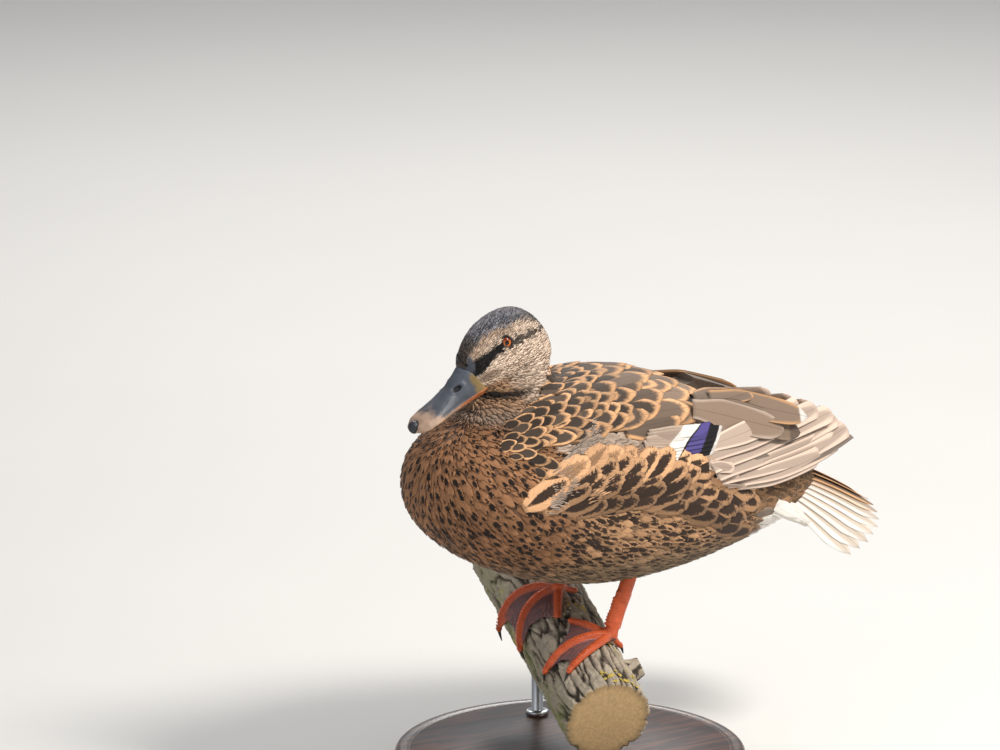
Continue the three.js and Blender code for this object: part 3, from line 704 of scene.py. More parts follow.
def vanes(name, material, spines, sizes, looks, grid, patches, surface=None, thick=0.0):
    """A mesh of closed vanes along spines.

    sizes hold, for each feather, length, width (half), sink, rise and camber, and for all of them
    stem, taper and fray, and blunt and point, which count in half widths. slant is how far the end
    and the bars run ahead on one side, as a share of the length. A vane is laid on the surface where
    one is given.
    """
    rows, columns = grid
    places, normals, aheads = spines
    count = len(places)
    chance = random_from(0)
    along = np.linspace(0, 1, rows + 1)[None, :, None]
    beside = np.linspace(-1, 1, columns + 1)[None, None, :]
    squat = (sizes.width / sizes.length)[:, None, None]
    reach = 1 - squat * (sizes.blunt * (1 - np.sqrt(1 - 0.97 * beside**2)) + sizes.point * np.abs(beside))
    reach = reach - sizes.fray * chance.random((count, 1, columns + 1)) * (0.3 + 0.7 * np.abs(beside))
    reach = reach + sizes.slant[:, None, None] * beside
    fullness = sizes.stem + (1 - sizes.stem) * ramp(0, 0.45, along)
    fullness = fullness * (1 - sizes.taper * along**2)
    lateral = np.broadcast_to(sizes.width[:, None, None] * fullness * beside, (count, rows + 1, columns + 1))
    back = sizes.length[:, None, None] * along * (1 - reach)
    side = np.cross(normals, aheads)
    points = (
        places[:, :, None] + side[:, :, None] * lateral[..., None] - aheads[:, :, None] * back[..., None]
    )
    out = np.broadcast_to(normals[:, :, None], points.shape)
    if surface:
        points, laid, _ = surface.nearest(points)
        out = unit(out + laid)
    share = along * reach
    lift = sizes.sink[:, None, None] + (sizes.rise - sizes.sink)[:, None, None] * share**0.8
    lift = lift + sizes.camber[:, None, None] * (1 - beside**2)
    points = points + out * lift[..., None]
    shape = points.reshape(count, -1, 3)
    uv = np.stack(np.broadcast_arrays(share, beside * 0.5 + 0.5), axis=-1).reshape(count, -1, 2)
    if thick:
        shape = np.concatenate((shape, (points - out * thick).reshape(count, -1, 3)), axis=1)
        uv = np.concatenate((uv, uv), axis=1)
    stride = shape.shape[1]
    faces = vane_faces(rows, columns, bool(thick))
    corners = np.concatenate(faces)
    loops = (corners[None] + stride * np.arange(count)[:, None]).ravel()
    mesh = mesh_from(name, shape.reshape(-1, 3), loops, np.tile([len(face) for face in faces], count))
    set_uv(mesh, "vane", uv.reshape(-1, 2))
    centre, size = patches
    patch = centre[:, None] + size * (uv - 0.5)
    set_uv(mesh, "OFBake", patch.reshape(-1, 2))
    tilt = sizes.slant[:, None] * (2 * uv[..., 1] - 1)
    for part in ("core", "edge", "bar", "tip", "mark", "grain"):
        values = np.repeat(getattr(looks, part), stride, axis=0)
        if part in ("bar", "tip"):
            values[:, 3] += tilt.ravel()
        set_attribute(mesh, part, values)
    mesh.materials.append(material)
    mesh.uv_layers["vane"].active_render = True
    return link(name, mesh)


def lay(name, slot, nodes, material, spines, shape, looks, grid, patches, **more):
    """Makes a finished piece of feathers."""
    ready(vanes(name, material, spines, shape, looks, grid, patches, **more), slot, *nodes)


PATCH = 0.003


def body_patches(roots):
    """Each root's place on an unwrap of the body: round its long axis, and along it."""
    turn = np.arctan2(roots[:, 1], roots[:, 2] - BODY_LEVEL - 90) / math.tau + 0.5
    share = (roots[:, 0] + 130) / 370
    return np.column_stack((0.01 + 0.98 * turn, 0.01 + 0.98 * share)), PATCH


def head_patches(roots):
    """Each root's place on an unwrap of the head and neck."""
    places = HEAD.inside(roots)
    turn = np.arctan2(places[:, 1], places[:, 2] - 8) / math.tau + 0.5
    share = (places[:, 0] - places[:, 2] * 0.3 + 85) / 105
    return np.column_stack((0.01 + 0.98 * turn, np.clip(0.01 + 0.98 * share, 0.01, 0.99))), PATCH


def wide_patches(count):
    """A field of cells, one for each large feather, in the order of the feathers."""
    across_count = math.ceil(math.sqrt(count))
    cells = np.arange(count)
    places = np.column_stack((cells % across_count, cells // across_count)) + 0.5
    return places / across_count, 0.8 / across_count


def looks_of(count, core, edge, mark, inner=0.0, lengths=10.0, bar=None, tip=None, chance=None):
    """The colours and marks of feathers; bar and tip are a colour and where it starts."""
    def wide(colour, start):
        filled = np.broadcast_to(np.asarray(colour, float), (count, 3))
        return np.column_stack((filled, np.broadcast_to(start, count)))

    variation = chance.random(count) if chance is not None else np.full(count, 0.5)
    return SimpleNamespace(
        core=wide(core, 1),
        edge=wide(edge, 1),
        bar=wide(*(bar or (edge, NEVER))),
        tip=wide(*(tip or (edge, NEVER))),
        mark=np.column_stack([np.broadcast_to(value, count) for value in mark]),
        grain=np.column_stack((variation, np.broadcast_to(inner, count), np.broadcast_to(lengths, count))),
    )


def colours(group="hen_tones"):
    """A group's colours by name."""
    tones = getattr(bpy.context.scene, group)
    return SimpleNamespace(**{key: np.array(getattr(tones, key)) for key in tones.__annotations__})


# Along the head, and there the height of the crown's edge and half the width of the forehead's.
CROWN_EDGE = (
    [-60, -46, -38, -30, -24, -17, -11.3, -6, -0.8, 2.5, 5, 6.2],
    [15, 27.2, 29.9, 30.6, 31.9, 32.5, 31.2, 27.5, 22, 17, 13, 10],
)
FOREHEAD_EDGE = ([-14, -6, 0, 4, 7], [20, 7.4, 5.6, 4.8, 3.4])
# Along the head, and there the height and half the width of the stripe through the eye.
STRIPE_STATIONS = [-55, -46, -36, -27, -18.5, -11.4, -5, 0, 3]
STRIPE_HEIGHTS = [16.5, 18.3, 20.3, 22, 22.7, 20.6, 18, 16.2, 15.5]
STRIPE_HALVES = [0.8, 2.1, 2.5, 2.6, 2.5, 3.2, 4.6, 5.2, 5.2]


def head_colours(points, pick):
    """Ground and streak colours of the head and neck, and how bold the streaks are."""
    ahead, side, height = HEAD.inside(points).T
    side = np.abs(side)
    crown_line = np.interp(ahead, *CROWN_EDGE)
    crown = ramp(-1.2, 1.2, height - crown_line + pick * 2.4 - 1.2)
    crown = crown * ramp(0.7, -0.7, side + pick - 0.5 - np.interp(ahead, *FOREHEAD_EDGE))
    off_stripe = np.abs(height - np.interp(ahead, STRIPE_STATIONS, STRIPE_HEIGHTS))
    off_stripe = off_stripe - np.interp(ahead, STRIPE_STATIONS, STRIPE_HALVES)
    stripe = ramp(1.0, -1.0, off_stripe + (pick - 0.5) * ramp(-8, -20, ahead) * 3)
    stripe = stripe * ramp(2.5, 4.5, side) * (1 - crown) * (1 - 0.15 * ramp(-20, -36, ahead))
    smudge = ramp(1.3, 0.4, np.hypot((ahead + 6) / 10, (height - 8) / 4.2)) * 0.85
    shade = ramp(13, 0, height) * ramp(-54, -22, ahead) * 0.4
    throat = ramp(4.5, -0.5, height) * ramp(-25, -12, ahead)
    brow = ramp(-7, -1, height - crown_line) * ramp(-46, -24, ahead)
    nape = ramp(-52, -60, ahead) * 0.3
    low = ramp(262, 246, points[:, 2])
    c = colours()
    ground = blend(c.cheek, c.cheek_streak, np.maximum(smudge, shade))
    ground = blend(ground, c.throat, throat)
    ground = blend(ground, c.throat, brow * 0.45)
    ground = blend(ground, c.cheek_streak, nape)
    ground = blend(ground, c.neck, low)
    streak = blend(c.cheek_streak, c.neck_streak, low)
    chest = ramp(250, 242, points[:, 2]) * ramp(-58, -72, points[:, 0])
    ground = blend(ground, c.breast, chest)
    streak = blend(streak, c.breast_spot, chest)
    # Painted shade: the crease where the cheek rests on the neck is painted dark.
    crease = chin_crease(points)
    ground, streak = (blend(shade, c.neck_streak * 0.35, crease) for shade in (ground, streak))
    bold = 1 - 0.7 * throat + 0.5 * brow + 0.5 * chest
    front = ramp(-12, 0, ahead)
    # Painted sheen: the top of the crown is painted lighter and bluer, as where light falls on it.
    painted_sheen = ramp(26, 34, height) * (1 - front) * (0.3 + 0.7 * pick)
    sheen = blend(c.crown, lighter(c.crown_painted_sheen, 1.35), painted_sheen)
    sheen = blend(sheen, c.eye_stripe, front * 0.7)
    ground = blend(ground, sheen, crown * (0.82 + 0.18 * ramp(0.25, 0.1, pick)))
    streak = blend(streak, c.crown, crown)
    ground = blend(ground, c.eye_stripe, stripe)
    streak = blend(streak, c.eye_stripe, stripe)
    return ground, streak, bold


def body_colours(points, pick):
    """Ground and centre colours of the body's coat, and the size of each feather's mark."""
    along, side, height = points.T
    height = height - BODY_LEVEL
    c = colours()
    chest = ramp(-15, -55, along)
    low = ramp(62, 40, height)
    rear = ramp(95, 125, along)
    top = ramp(104, 120, height)
    ground = blend(c.flank, c.breast, chest)
    ground = blend(ground, c.belly, low * (1 - 0.45 * chest))
    ground = blend(ground, c.back_edge * 0.62, rear * ramp(40, 62, height))
    ground = blend(ground, c.back_edge, top * (1 - chest))
    centre = blend(c.flank_centre, c.breast_spot, chest)
    centre = blend(centre, c.belly_streak, low)
    centre = blend(centre, c.back_centre, np.maximum(rear * ramp(50, 66, height), top * (1 - chest)))
    centre = blend(centre, ground * 0.6, rear * 0.45)
    side = np.abs(side)
    level = height + 0.143 * along - 0.204 * side
    under = ramp(121, 131, along) * ramp(73, 68, level) * ramp(53, 58, level) * ramp(3, 9, side)
    ground, centre = blend(ground, c.white, under), blend(centre, c.white * 0.95, under)
    centre = blend(centre, ground, (pick < 0.2).astype(float))
    ground = ground * (0.86 + 0.24 * ((pick * 7) % 1))[:, None]
    # Painted shade: the coat is painted darker towards the bottom of the body, except on the white
    # undertail.
    ground = ground * (1 - 0.24 * ramp(108, 80, height) * (1 - under))[:, None]
    long_mark = np.maximum(1 - chest, 0) * (1 - low)
    mark = (0.72 - 0.18 * long_mark, 0.2 + 0.16 * long_mark, 0.5 - 0.14 * low + 0.1 * long_mark)
    return ground, centre, mark


# ---- Skin ----

GROUPS = {
    "trunk": ("trunk",),
    "neck": ("neck",),
    "head": ("head",),
    "scapular": ("scapulars_left", "scapulars_right"),
    "wing": ("wing_left", "wing_right"),
}
LABELS = {name: i for i, name in enumerate(GROUPS)}
COAT_DEPTH = {"trunk": 2.4, "neck": 2.0, "head": 1.1, "scapular": 3.0, "wing": 2.2}
FILLERS = ("bill_upper", "bill_lower", "eye_left", "eye_right")
THIGHS = ("thigh_left", "thigh_right")
WINGS = GROUPS["wing"]
BODY_GROUPS = ("trunk", "wing", "scapular")
# The quills whose shrunk copies are painted dark as shade under them.
SHADE_LININGS = tuple(f"{part}_{side}" for part in ("tertials", "primaries") for side in ("left", "right"))
BARE = tuple(f"{part}_{side}" for part in ("shank", "foot") for side in ("left", "right"))


def nearest_groups(points):
    """The group of flesh that each point is nearest to."""
    gaps = []
    for nodes in GROUPS.values():
        surface = Surface(node_copy(*nodes))
        gaps.append(np.linalg.norm(surface.nearest(points)[0] - points, axis=1))
    return np.argmin(gaps, axis=0)


def softened(mesh, values, rounds):
    """Values at a mesh's points, evened out along its edges."""
    edges = read(mesh.edges, "vertices", 2, np.int32)
    ends = np.concatenate((edges[:, 0], edges[:, 1]))
    others = np.concatenate((edges[:, 1], edges[:, 0]))
    counts = np.bincount(ends, minlength=len(values))
    for _ in range(rounds):
        total = np.bincount(ends, weights=values[others], minlength=len(values))
        values = (values + total) / (1 + counts)
    return values


def move_points(mesh, points):
    mesh.vertices.foreach_set("co", (points * MM).astype(np.float32).ravel())
    mesh.update()


def coated_colour(points, labels):
    """The skin's colour: the mean of the coat over it."""
    half = np.full(len(points), 0.5)
    ground, streak, bold = head_colours(points, half)
    heady = np.isin(labels, (LABELS["head"], LABELS["neck"]))
    body_ground, centre, _ = body_colours(points, half)
    c = colours()
    on_wing = labels == LABELS["wing"]
    body_ground[on_wing] = c.covert
    centre[on_wing] = c.covert * 0.6
    on_back = labels == LABELS["scapular"]
    body_ground[on_back] = c.back_centre
    head = blend(ground, streak, np.minimum(0.35 * bold, 1))
    head = blend(head, c.bill * 1.35, ramp(-0.3, 0.3, past_face(points)))
    head = blend(head, c.eye_stripe, ramp(5.4, 4.4, eye_gap(points)))
    return np.where(heady[:, None], head, blend(body_ground, centre, 0.4)) * 0.8


def foot_path(foot, toe, reach, height):
    """The places `reach` along a toe, at `height` over the bark."""
    start = math.radians(toe.turn)
    curve = math.radians(toe.bend) / toe.length
    heading = start + curve * reach
    if curve:
        ahead = (np.sin(heading) - math.sin(start)) / curve
        aside = (math.cos(start) - np.cos(heading)) / curve
    else:
        ahead = reach * math.cos(start)
        aside = reach * math.sin(start)
    angle = math.radians(foot.angle) + ahead / (BRANCH.radius + TOE_RADIUS)
    lift = toe.lift * (reach / toe.length) ** 2
    radius = BRANCH.radius + SOLE_GAP + lift + height
    return PERCH.out(np.column_stack((foot.along + aside, radius * np.sin(angle), radius * np.cos(angle))))


def toe(turn, span, bend=0.0, lift=0.0):
    return SimpleNamespace(turn=turn, length=span, bend=bend, lift=lift)


TOE_RADIUS = 3.1
TOE_TIP_RADIUS = 2.1
SOLE_GAP = 0.5
FEET = {
    "left": SimpleNamespace(
        along=0, angle=-26, heel=(26.6, -30, 134.6),
        toes=(toe(43, 28), toe(-7, 54), toe(-47, 46, bend=26), toe(180, 12)),
    ),
    "right": SimpleNamespace(
        along=53.5, angle=5, heel=(22, 27, 150.6),
        toes=(toe(-71, 28), toe(10, 54, bend=-75, lift=2), toe(49, 55, bend=-74, lift=5), toe(180, 12)),
    ),
}


def toe_lines():
    """Points along the middle of every toe, 1 mm apart."""
    lines = []
    for foot in FEET.values():
        for each in foot.toes:
            reach = np.arange(0, each.length, 1.0)
            lines.append(foot_path(foot, each, reach, TOE_RADIUS))
    return np.concatenate(lines)


def leg_balls():
    """Balls that round off the joints and toe ends and carry each shank up into the coat."""
    balls = []
    for foot in FEET.values():
        joint = foot_path(foot, foot.toes[1], np.zeros(1), TOE_RADIUS + 1.6)[0]
        heel = np.array(foot.heel)
        balls += [(joint + (heel - joint) * share, 4.6) for share in np.linspace(0, 0.22, 4)]
        balls += [(joint + (heel - joint) * share, 4.9) for share in np.linspace(0.6, 1.08, 12)]
        for each in foot.toes:
            ends = foot_path(foot, each, np.array([each.length - 0.8, each.length + 0.4]), TOE_TIP_RADIUS)
            balls += [(end, size) for end, size in zip(ends, (TOE_TIP_RADIUS, TOE_TIP_RADIUS - 0.3))]
    return balls


def with_balls(mesh, balls):
    with edited(mesh) as shape:
        for centre, radius in balls:
            place = Matrix.Translation(Vector(centre) * MM)
            bmesh.ops.create_icosphere(shape, subdivisions=3, radius=radius * MM, matrix=place)
    return mesh


def build_legs():
    """The bare shanks and feet as one even shell each, painted orange with dark webs."""
    sizes = bpy.context.scene.hen_sizes
    solid = with_balls(node_copy(*BARE, grow=0.25), leg_balls())
    legs = remeshed("bare_legs", solid, sizes.leg_detail, 8, whole=True)
    mesh = legs.data
    points = read(mesh.vertices, "co") / MM
    normals = read(mesh.vertices, "normal")
    toes = point_tree(toe_lines())
    gap = np.array([toes.find(point)[2] for point in points])
    off_bark = np.linalg.norm(PERCH.inside(points)[:, 1:], axis=1) - BRANCH.radius
    web = ramp(2.6, 4.0, gap) * ramp(7, 5, off_bark)
    wrinkle = np.array([noise.noise(Vector(point) * 0.35) for point in points])
    creases = np.sin(gap * 2.4 + wrinkle * 3.5)
    move_points(mesh, points + normals * (web * (0.16 * creases + 0.25 * wrinkle))[:, None])
    c = colours()
    painted = blend(c.leg, c.web, web * (0.85 + 0.15 * creases))
    # Painted shade: the sides that face the bark are painted darker, except on the webs.
    bark_side_shade = ramp(0.2, -0.5, (normals * unit(points - PERCH.out((20, 0, 0)))).sum(1))
    set_tone(mesh, blend(painted, c.leg * 0.45, bark_side_shade * (1 - web) * 0.4))
    return legs


def scaled_skin():
    """Scaly bare skin with a soft wet gleam."""
    graph = Graph("Leg skin", Roughness=0.42, Subsurface_Weight=0.06)
    graph.shader.inputs["Subsurface Scale"].default_value = 1.5 * MM
    inputs = {"Vector": graph.place(), "Scale": 900.0}
    cells = graph.node("ShaderNodeTexVoronoi", inputs, feature="DISTANCE_TO_EDGE").outputs[0]
    plates = graph.step(0.0, 0.12, cells)
    colour = varied(graph, graph.attribute("tone")["Color"], graph.noise(graph.place(), 160, 4), 0.3)
    colour = graph.mix(graph.math("SUBTRACT", 1.0, plates), colour, varied(graph, colour, 0.0, 0.35))
    graph.bump(plates, 0.55, 0.16)
    return graph.finish(colour)


def ring_tube(centres, outs, radius, sides=8):
    """A closed tube round a ring of centres; outs point away from the ring's middle axis."""
    ahead = unit(np.roll(centres, -1, 0) - np.roll(centres, 1, 0))
    up = np.cross(ahead, outs)
    turns = np.arange(sides) / sides * math.tau
    rim = outs[:, None] * np.cos(turns)[None, :, None] + up[:, None] * np.sin(turns)[None, :, None]
    points = centres[:, None] + rim * radius
    count = len(centres)
    faces = [
        (i * sides + j, i * sides + (j + 1) % sides, (i + 1) % count * sides + (j + 1) % sides,
         (i + 1) % count * sides + j)
        for i in range(count) for j in range(sides)
    ]
    return points.reshape(-1, 3), faces


def eye_frame(side):
    """The eye's centre and axes in the head's frame, the last one along its gaze."""
    mirror = np.array((1, side, 1))
    gaze = unit(np.array(EYE.gaze) * mirror)
    across_gaze = unit(np.cross(UP, gaze))
    return np.array(EYE.place) * mirror, np.stack((across_gaze, np.cross(gaze, across_gaze), gaze))


def build_lids():
    """A thin dark lid round each eye, a little higher than it is wide."""
    pieces = []
    for side in (1, -1):
        centre, axes = eye_frame(side)
        turns = np.linspace(0, math.tau, 48, endpoint=False)
        wide = math.radians(EYE.opening) * (1 - 0.12 * np.cos(2 * turns))
        rim = np.column_stack((np.sin(wide) * np.cos(turns), np.sin(wide) * np.sin(turns), np.cos(wide)))
        outs = unit(rim @ axes)
        lid = centre + outs * (EYE.radius + 0.15)
        points, faces = ring_tube(HEAD.out(lid), outs @ HEAD.axes.T, 0.62)
        mesh = bpy.data.meshes.new("lid")
        mesh.from_pydata((points * MM).tolist(), [], faces)
        set_tone(mesh, colours().eye_stripe * 1.2)
        pieces.append(link("lid", faces_out(mesh)))
    return pieces


class BuildSkin(bpy.types.Operator):
    """Make the one skin under the coat, with the bare legs and feet and the eyelids"""

    bl_idname = "hen.build_skin"
    bl_label = "Skin"

    def execute(self, context):
        sizes = context.scene.hen_sizes
        flesh = [node for nodes in GROUPS.values() for node in nodes]
        skin = remeshed("skin", node_copy(*flesh, *FILLERS, grow=0.2), sizes.skin_detail, 6)
        mesh = skin.data
        points = read(mesh.vertices, "co") / MM
        evened = np.column_stack([softened(mesh, points[:, axis], 36) for axis in range(3)])
        height = points[:, 2] - BODY_LEVEL
        behind_neck = ramp(-12, 0, points[:, 0] - np.interp(height, *MANTLE_EDGE)) * ramp(166, 158, height)
        points = blend(points, evened, np.maximum(1 - on_head(points), behind_neck))
        move_points(mesh, points)
        labels = nearest_groups(points)
        depth = softened(mesh, np.array(list(COAT_DEPTH.values()))[labels], 10)
        local = HEAD.inside(points)
        past = ramp(-0.6, 0.6, past_face(points)) * ramp(-13, -10, local[:, 2])
        under_horn = ramp(0.3, 1.6, local[:, 0] - np.interp(local[:, 2], *HORN_EDGE))
        depth = depth + past * (0.25 + 0.9 * under_horn + 2.5 * ramp(6.5, 12, local[:, 0]) - depth)
        depth = depth + (0.3 - depth) * ramp(8, 6, eye_gap(points)) + chin_crease(points)
        points = points - read(mesh.vertices, "normal") * depth[:, None]
        move_points(mesh, points)
        set_tone(mesh, coated_colour(points, labels))
        surface = Surface(mesh)
        surface.labels = nearest_groups(surface.points[surface.triangles].mean(axis=1))[
            np.unique(surface.owners, return_index=True)[1]
        ]
        made["skin"] = surface
        # Painted shade: shrunk copies of the tertials and primaries, painted dark, show as shade in the gaps
        # between the quills.
        shade_linings = link("shade_linings", node_copy(*SHADE_LININGS, grow=-0.7))
        set_tone(shade_linings.data, colours().covert * 0.4)
        down = painted_material("Down", 700, 0.3, 0.3, Roughness=0.9, Sheen_Weight=0.2)
        feathered = [skin, shade_linings, *build_lids()]
        for piece in feathered:
            dress(piece, down)
        legs = build_legs()
        dress(legs, scaled_skin())
        ready(joined([*feathered, legs]), "plumage", *flesh, *THIGHS, *BARE)
        return {"FINISHED"}


# ---- Coat ----


def feather_sizes(
    lengths, widths, camber, blunt, point=0.0, fray=0.0, stem=0.6, taper=0.1, sink=0.0, rise=0.0
):
    """Sizes of feathers: lengths, widths, camber, sink and rise in mm, and the rest as vanes says."""
    count = len(lengths)
    camber, sink, rise = (np.array(np.broadcast_to(value, count), float) for value in (camber, sink, rise))
    return SimpleNamespace(
        length=lengths, width=widths, sink=sink, rise=rise, camber=camber, slant=np.zeros(count),
        blunt=blunt, point=point, fray=fray, stem=stem, taper=taper,
    )


def spaced_sizes(spacing, chance, length, width, rise, camber, blunt, fray, sink=-0.4, stem=0.45, **more):
    """Uneven sizes of feathers; length, width and camber are shares of each one's spacing."""
    wobble = 0.88 + 0.24 * chance.random(len(spacing))
    rises = rise * (0.8 + 0.4 * chance.random(len(spacing)))
    return feather_sizes(
        spacing * length * wobble, spacing * width * wobble, spacing * camber, blunt, fray=fray, stem=stem,
        sink=sink, rise=rises, **{"taper": 0.0, **more},
    )


def eye_gap(points):
    """Distance from the nearer eye's opening axis point, on the eyeball's surface."""
    places = HEAD.inside(points)
    gaps = []
    for side in (1, -1):
        centre, axes = eye_frame(side)
        gaps.append(np.linalg.norm(places - centre - axes[2] * EYE.radius * 0.8, axis=1))
    return np.minimum(*gaps)


class CoatHead(bpy.types.Operator):
    """Lay the small feathers of the head and neck"""

    bl_idname = "hen.coat_head"
    bl_label = "Head and neck feathers"

    def execute(self, context):
        sizes = context.scene.hen_sizes
        skin = surface_of("skin")
        chance = random_from(1)
        material = feather_material("Head feathers", 0.8, 0.16, 0.24, variation=0.2)
        # Spacing; length and half width in shares of it; rise in mm; grid; places tried for each kept.
        parts = (
            ("head", sizes.face_spacing, 4.4, 0.85, 0.62, (3, 2), 5.2),
            ("neck", sizes.neck_spacing, 4.8, 0.72, 1.3, (4, 2), 5.0),
        )
        for part, spacing, long, wide, rise, grid, density in parts:
            spots, _ = skin.scatter(density / spacing**2, [part], LABELS[part])
            local = HEAD.inside(spots)
            bare = (past_face(spots) > -0.3) & (local[:, 2] > -10) | (eye_gap(spots) < EYE.radius * 0.8)
            bare |= eye_gap(spots + flow(spots) * spacing * 2.4) < EYE.radius * 0.7
            if part == "neck":
                bare |= spots[:, 0] > np.interp(spots[:, 2] - BODY_LEVEL, *MANTLE_EDGE) + 2
            spots = spots[~bare]
            near_bill = ramp(-14, 6, HEAD.inside(spots)[:, 0])
            spaced = spacing * (1 - 0.15 * near_bill if part == "head" else np.ones(len(spots)))
            kept = thinned(spots, spaced)
            spots, spaced = spots[kept], spaced[kept]
            count = len(spots)
            aims = flow(spots) + chance.normal(0, 0.09, (count, 3))
            shape = spaced_sizes(
                spaced, chance, long, wide, rise, camber=0.1, blunt=1.0, fray=0.12, sink=-0.25, point=0.5
            )
            shrink = 1 - 0.45 * ramp(-16, 4, HEAD.inside(spots)[:, 0]) * (part == "head")
            shape.length = shape.length * shrink
            shape.rise = shape.rise * shrink
            spines = traced(skin, spots, aims, shape.length, grid[0], 0.3)
            ground, streak, bold = head_colours(spines[0][:, -2], chance.random(count))
            mark = (0.68, 0.32, 0.3 * bold * (0.2 + 0.9 * chance.random(count)))
            looks = looks_of(count, streak, ground, mark, lengths=4.0, chance=chance)
            lay(f"feathers_{part}", "plumage", [part], material, spines, shape, looks, grid,
                head_patches(spots), surface=skin)
        return {"FINISHED"}


# The upper edge, and how steeply the top and the lowest row's feathers rise, along the body.
FLANK_EDGE = ([-64, -54, -23, 14, 53, 75, 93, 112], [98, 108, 131, 127, 114, 102, 91, 84])
FLANK_STATIONS = [-60, -30, 10, 42, 66, 95]
FLANK_TOP_SLOPES = [0.3, 0.55, 0.9, 0.7, 0.05, -0.5]
FLANK_LOW_SLOPES = [0.2, 0.1, 0.0, -0.15, -0.3, -0.4]
FLANK_ROWS = 5
FLANK_ROW_GAP = 8.0
FLANK_SPACING = 13
FLANK_REACH = (-46, 114)


def flank_edge(along):
    """Height over the body level of the flank feathers' upper edge."""
    return np.interp(along, *FLANK_EDGE)


def body_spacing(points, base):
    along, _, height = points.T
    height = height - BODY_LEVEL
    near_neck = ramp(118, 134, height) * ramp(-30, -50, along)
    rear = ramp(80, 130, along)
    low = ramp(60, 40, height)
    return base * (0.93 - 0.22 * near_neck + 0.45 * rear + 0.12 * low)


class CoatBody(bpy.types.Operator):
    """Lay the feathers of the breast, belly, thighs, back and rump"""

    bl_idname = "hen.coat_body"
    bl_label = "Body feathers"

    def execute(self, context):
        skin = surface_of("skin")
        chance = random_from(2)
        material = feather_material("Body feathers", 0.82, 0.55, 0.5, variation=0.2)
        base = context.scene.hen_sizes.body_spacing
        spots, labels = skin.scatter(5.0 / (base * 0.74) ** 2, BODY_GROUPS, 3)
        height = spots[:, 2] - BODY_LEVEL
        under_back = (labels == LABELS["scapular"]) & (height > 138) & (spots[:, 0] < 80)
        spots, labels = spots[~under_back], labels[~under_back]
        spacing = body_spacing(spots, base)
        kept = thinned(spots, spacing)
        spots, labels, spacing = spots[kept], labels[kept], spacing[kept]
        count = len(spots)
        on_wing = np.isin(labels, (LABELS["wing"], LABELS["scapular"]))
        aims = flow(spots) + chance.normal(0, 0.10, (count, 3))
        shape = spaced_sizes(
            spacing, chance, length=3.3, width=0.72, rise=1.15, camber=0.05, blunt=1.2, fray=0.34, point=0.5
        )
        shape.rise = np.where(on_wing, shape.rise * 0.7, shape.rise)
        spines = traced(skin, spots, aims, shape.length, 6, 0.35)
        ground, centre, mark = body_colours(spines[0][:, -2], chance.random(count))
        c = colours()
        ground[on_wing] = lighter(c.covert, 1.1)
        centre[on_wing] = c.covert * 0.84
        bigger = 0.5 + 0.8 * chance.random(count)
        mark = (mark[0], mark[1] * bigger, mark[2] * bigger)
        looks = looks_of(
            count, centre, ground, mark, lengths=shape.length,
            tip=(lighter(ground, 1.0 + 0.3 * chance.random((count, 1))), 0.88 + 0.12 * chance.random(count)),
            chance=chance,
        )
        along = spots[:, 0]
        parts = (
            ("breast", (along < -40) & ~on_wing, ["trunk"]),
            ("belly", (along >= -40) & (along < 45) & ~on_wing, ["trunk", *THIGHS]),
            ("rear", (along >= 45) & ~on_wing, ["trunk"]),
            ("wing_base", on_wing, WINGS),
        )
        for part, chosen, nodes in parts:
            lay(f"feathers_{part}", "plumage", nodes, material, [item[chosen] for item in spines],
                picked(shape, chosen), picked(looks, chosen), (6, 8), body_patches(spots[chosen]),
                surface=skin)
        return {"FINISHED"}


def picked(values, chosen):
    """The chosen feathers' share of a set of values."""
    return SimpleNamespace(**{
        key: value[chosen] if isinstance(value, np.ndarray) else value for key, value in vars(values).items()
    })


AXIS_HEIGHT = 100  # the long axis that the shoulders' rows turn round, over the body level


def side_spots(surface, along, height, groups=()):
    """Places on the left side of a surface, seen square from the side."""
    starts = np.column_stack((along, np.full(len(along), -200.0), np.asarray(height) + BODY_LEVEL))
    return surface.cast(starts, (0, 1, 0), groups)


def round_spots(surface, along, turn, groups=()):
    """Places on the left side of a surface, seen from its long axis; turn is 0 abeam, 90 on top."""
    starts = np.column_stack((along, np.zeros(len(along)), np.full(len(along), BODY_LEVEL + AXIS_HEIGHT)))
    turn = np.radians(turn)
    ways = np.column_stack((np.zeros(len(along)), -np.cos(turn), np.sin(turn)))
    return surface.cast(starts, ways, groups)


def mirrored(values):
    """Left-side values followed by the same ones for the right side."""
    return np.concatenate((values, values * (1, -1, 1)))


def doubled(values):
    return np.concatenate((values, values))


SCAPULAR_ROWS = 13
SCAPULAR_REACH = (-82, 116)
SCAPULAR_PARTING = 12  # along the body, where the small front feathers give way to half as many rows
SCAPULAR_SPACING = ([-75, -30, 12, 45, 100], [8, 12.5, 17, 24, 27])
SCAPULAR_WIDTH = ([-75, -30, 10, 14, 45, 100], [4.6, 6.0, 6.8, 9.5, 11, 12])
# How far behind the front edge a feather lies, and the share of the full size that it has there.
SCAPULAR_GROWTH = ([0, 8, 24], [0.56, 0.72, 1])
SCAPULAR_SLOPE = ([-70, -30, 0, 80], [-0.55, -0.35, -0.16, -0.1])
# The lower edge: along the body, and its height over the body level.
SCAPULAR_EDGE = (
    [-80, -70, -52, -47, -40, -20, -6, 10, 30, 50, 66, 80, 96],
    [120, 110, 112, 135, 136.5, 136, 141, 142, 140, 136, 134, 139, 146],
)
# The front edge: turn round the long axis, and where along the body the feathers' tips start.
SCAPULAR_FRONT = (
    [8, 25, 37, 46, 54, 58, 60, 68, 76, 90],
    [-58, -66, -77, -74, -68, -61, -52, -32, -23, -13],
)


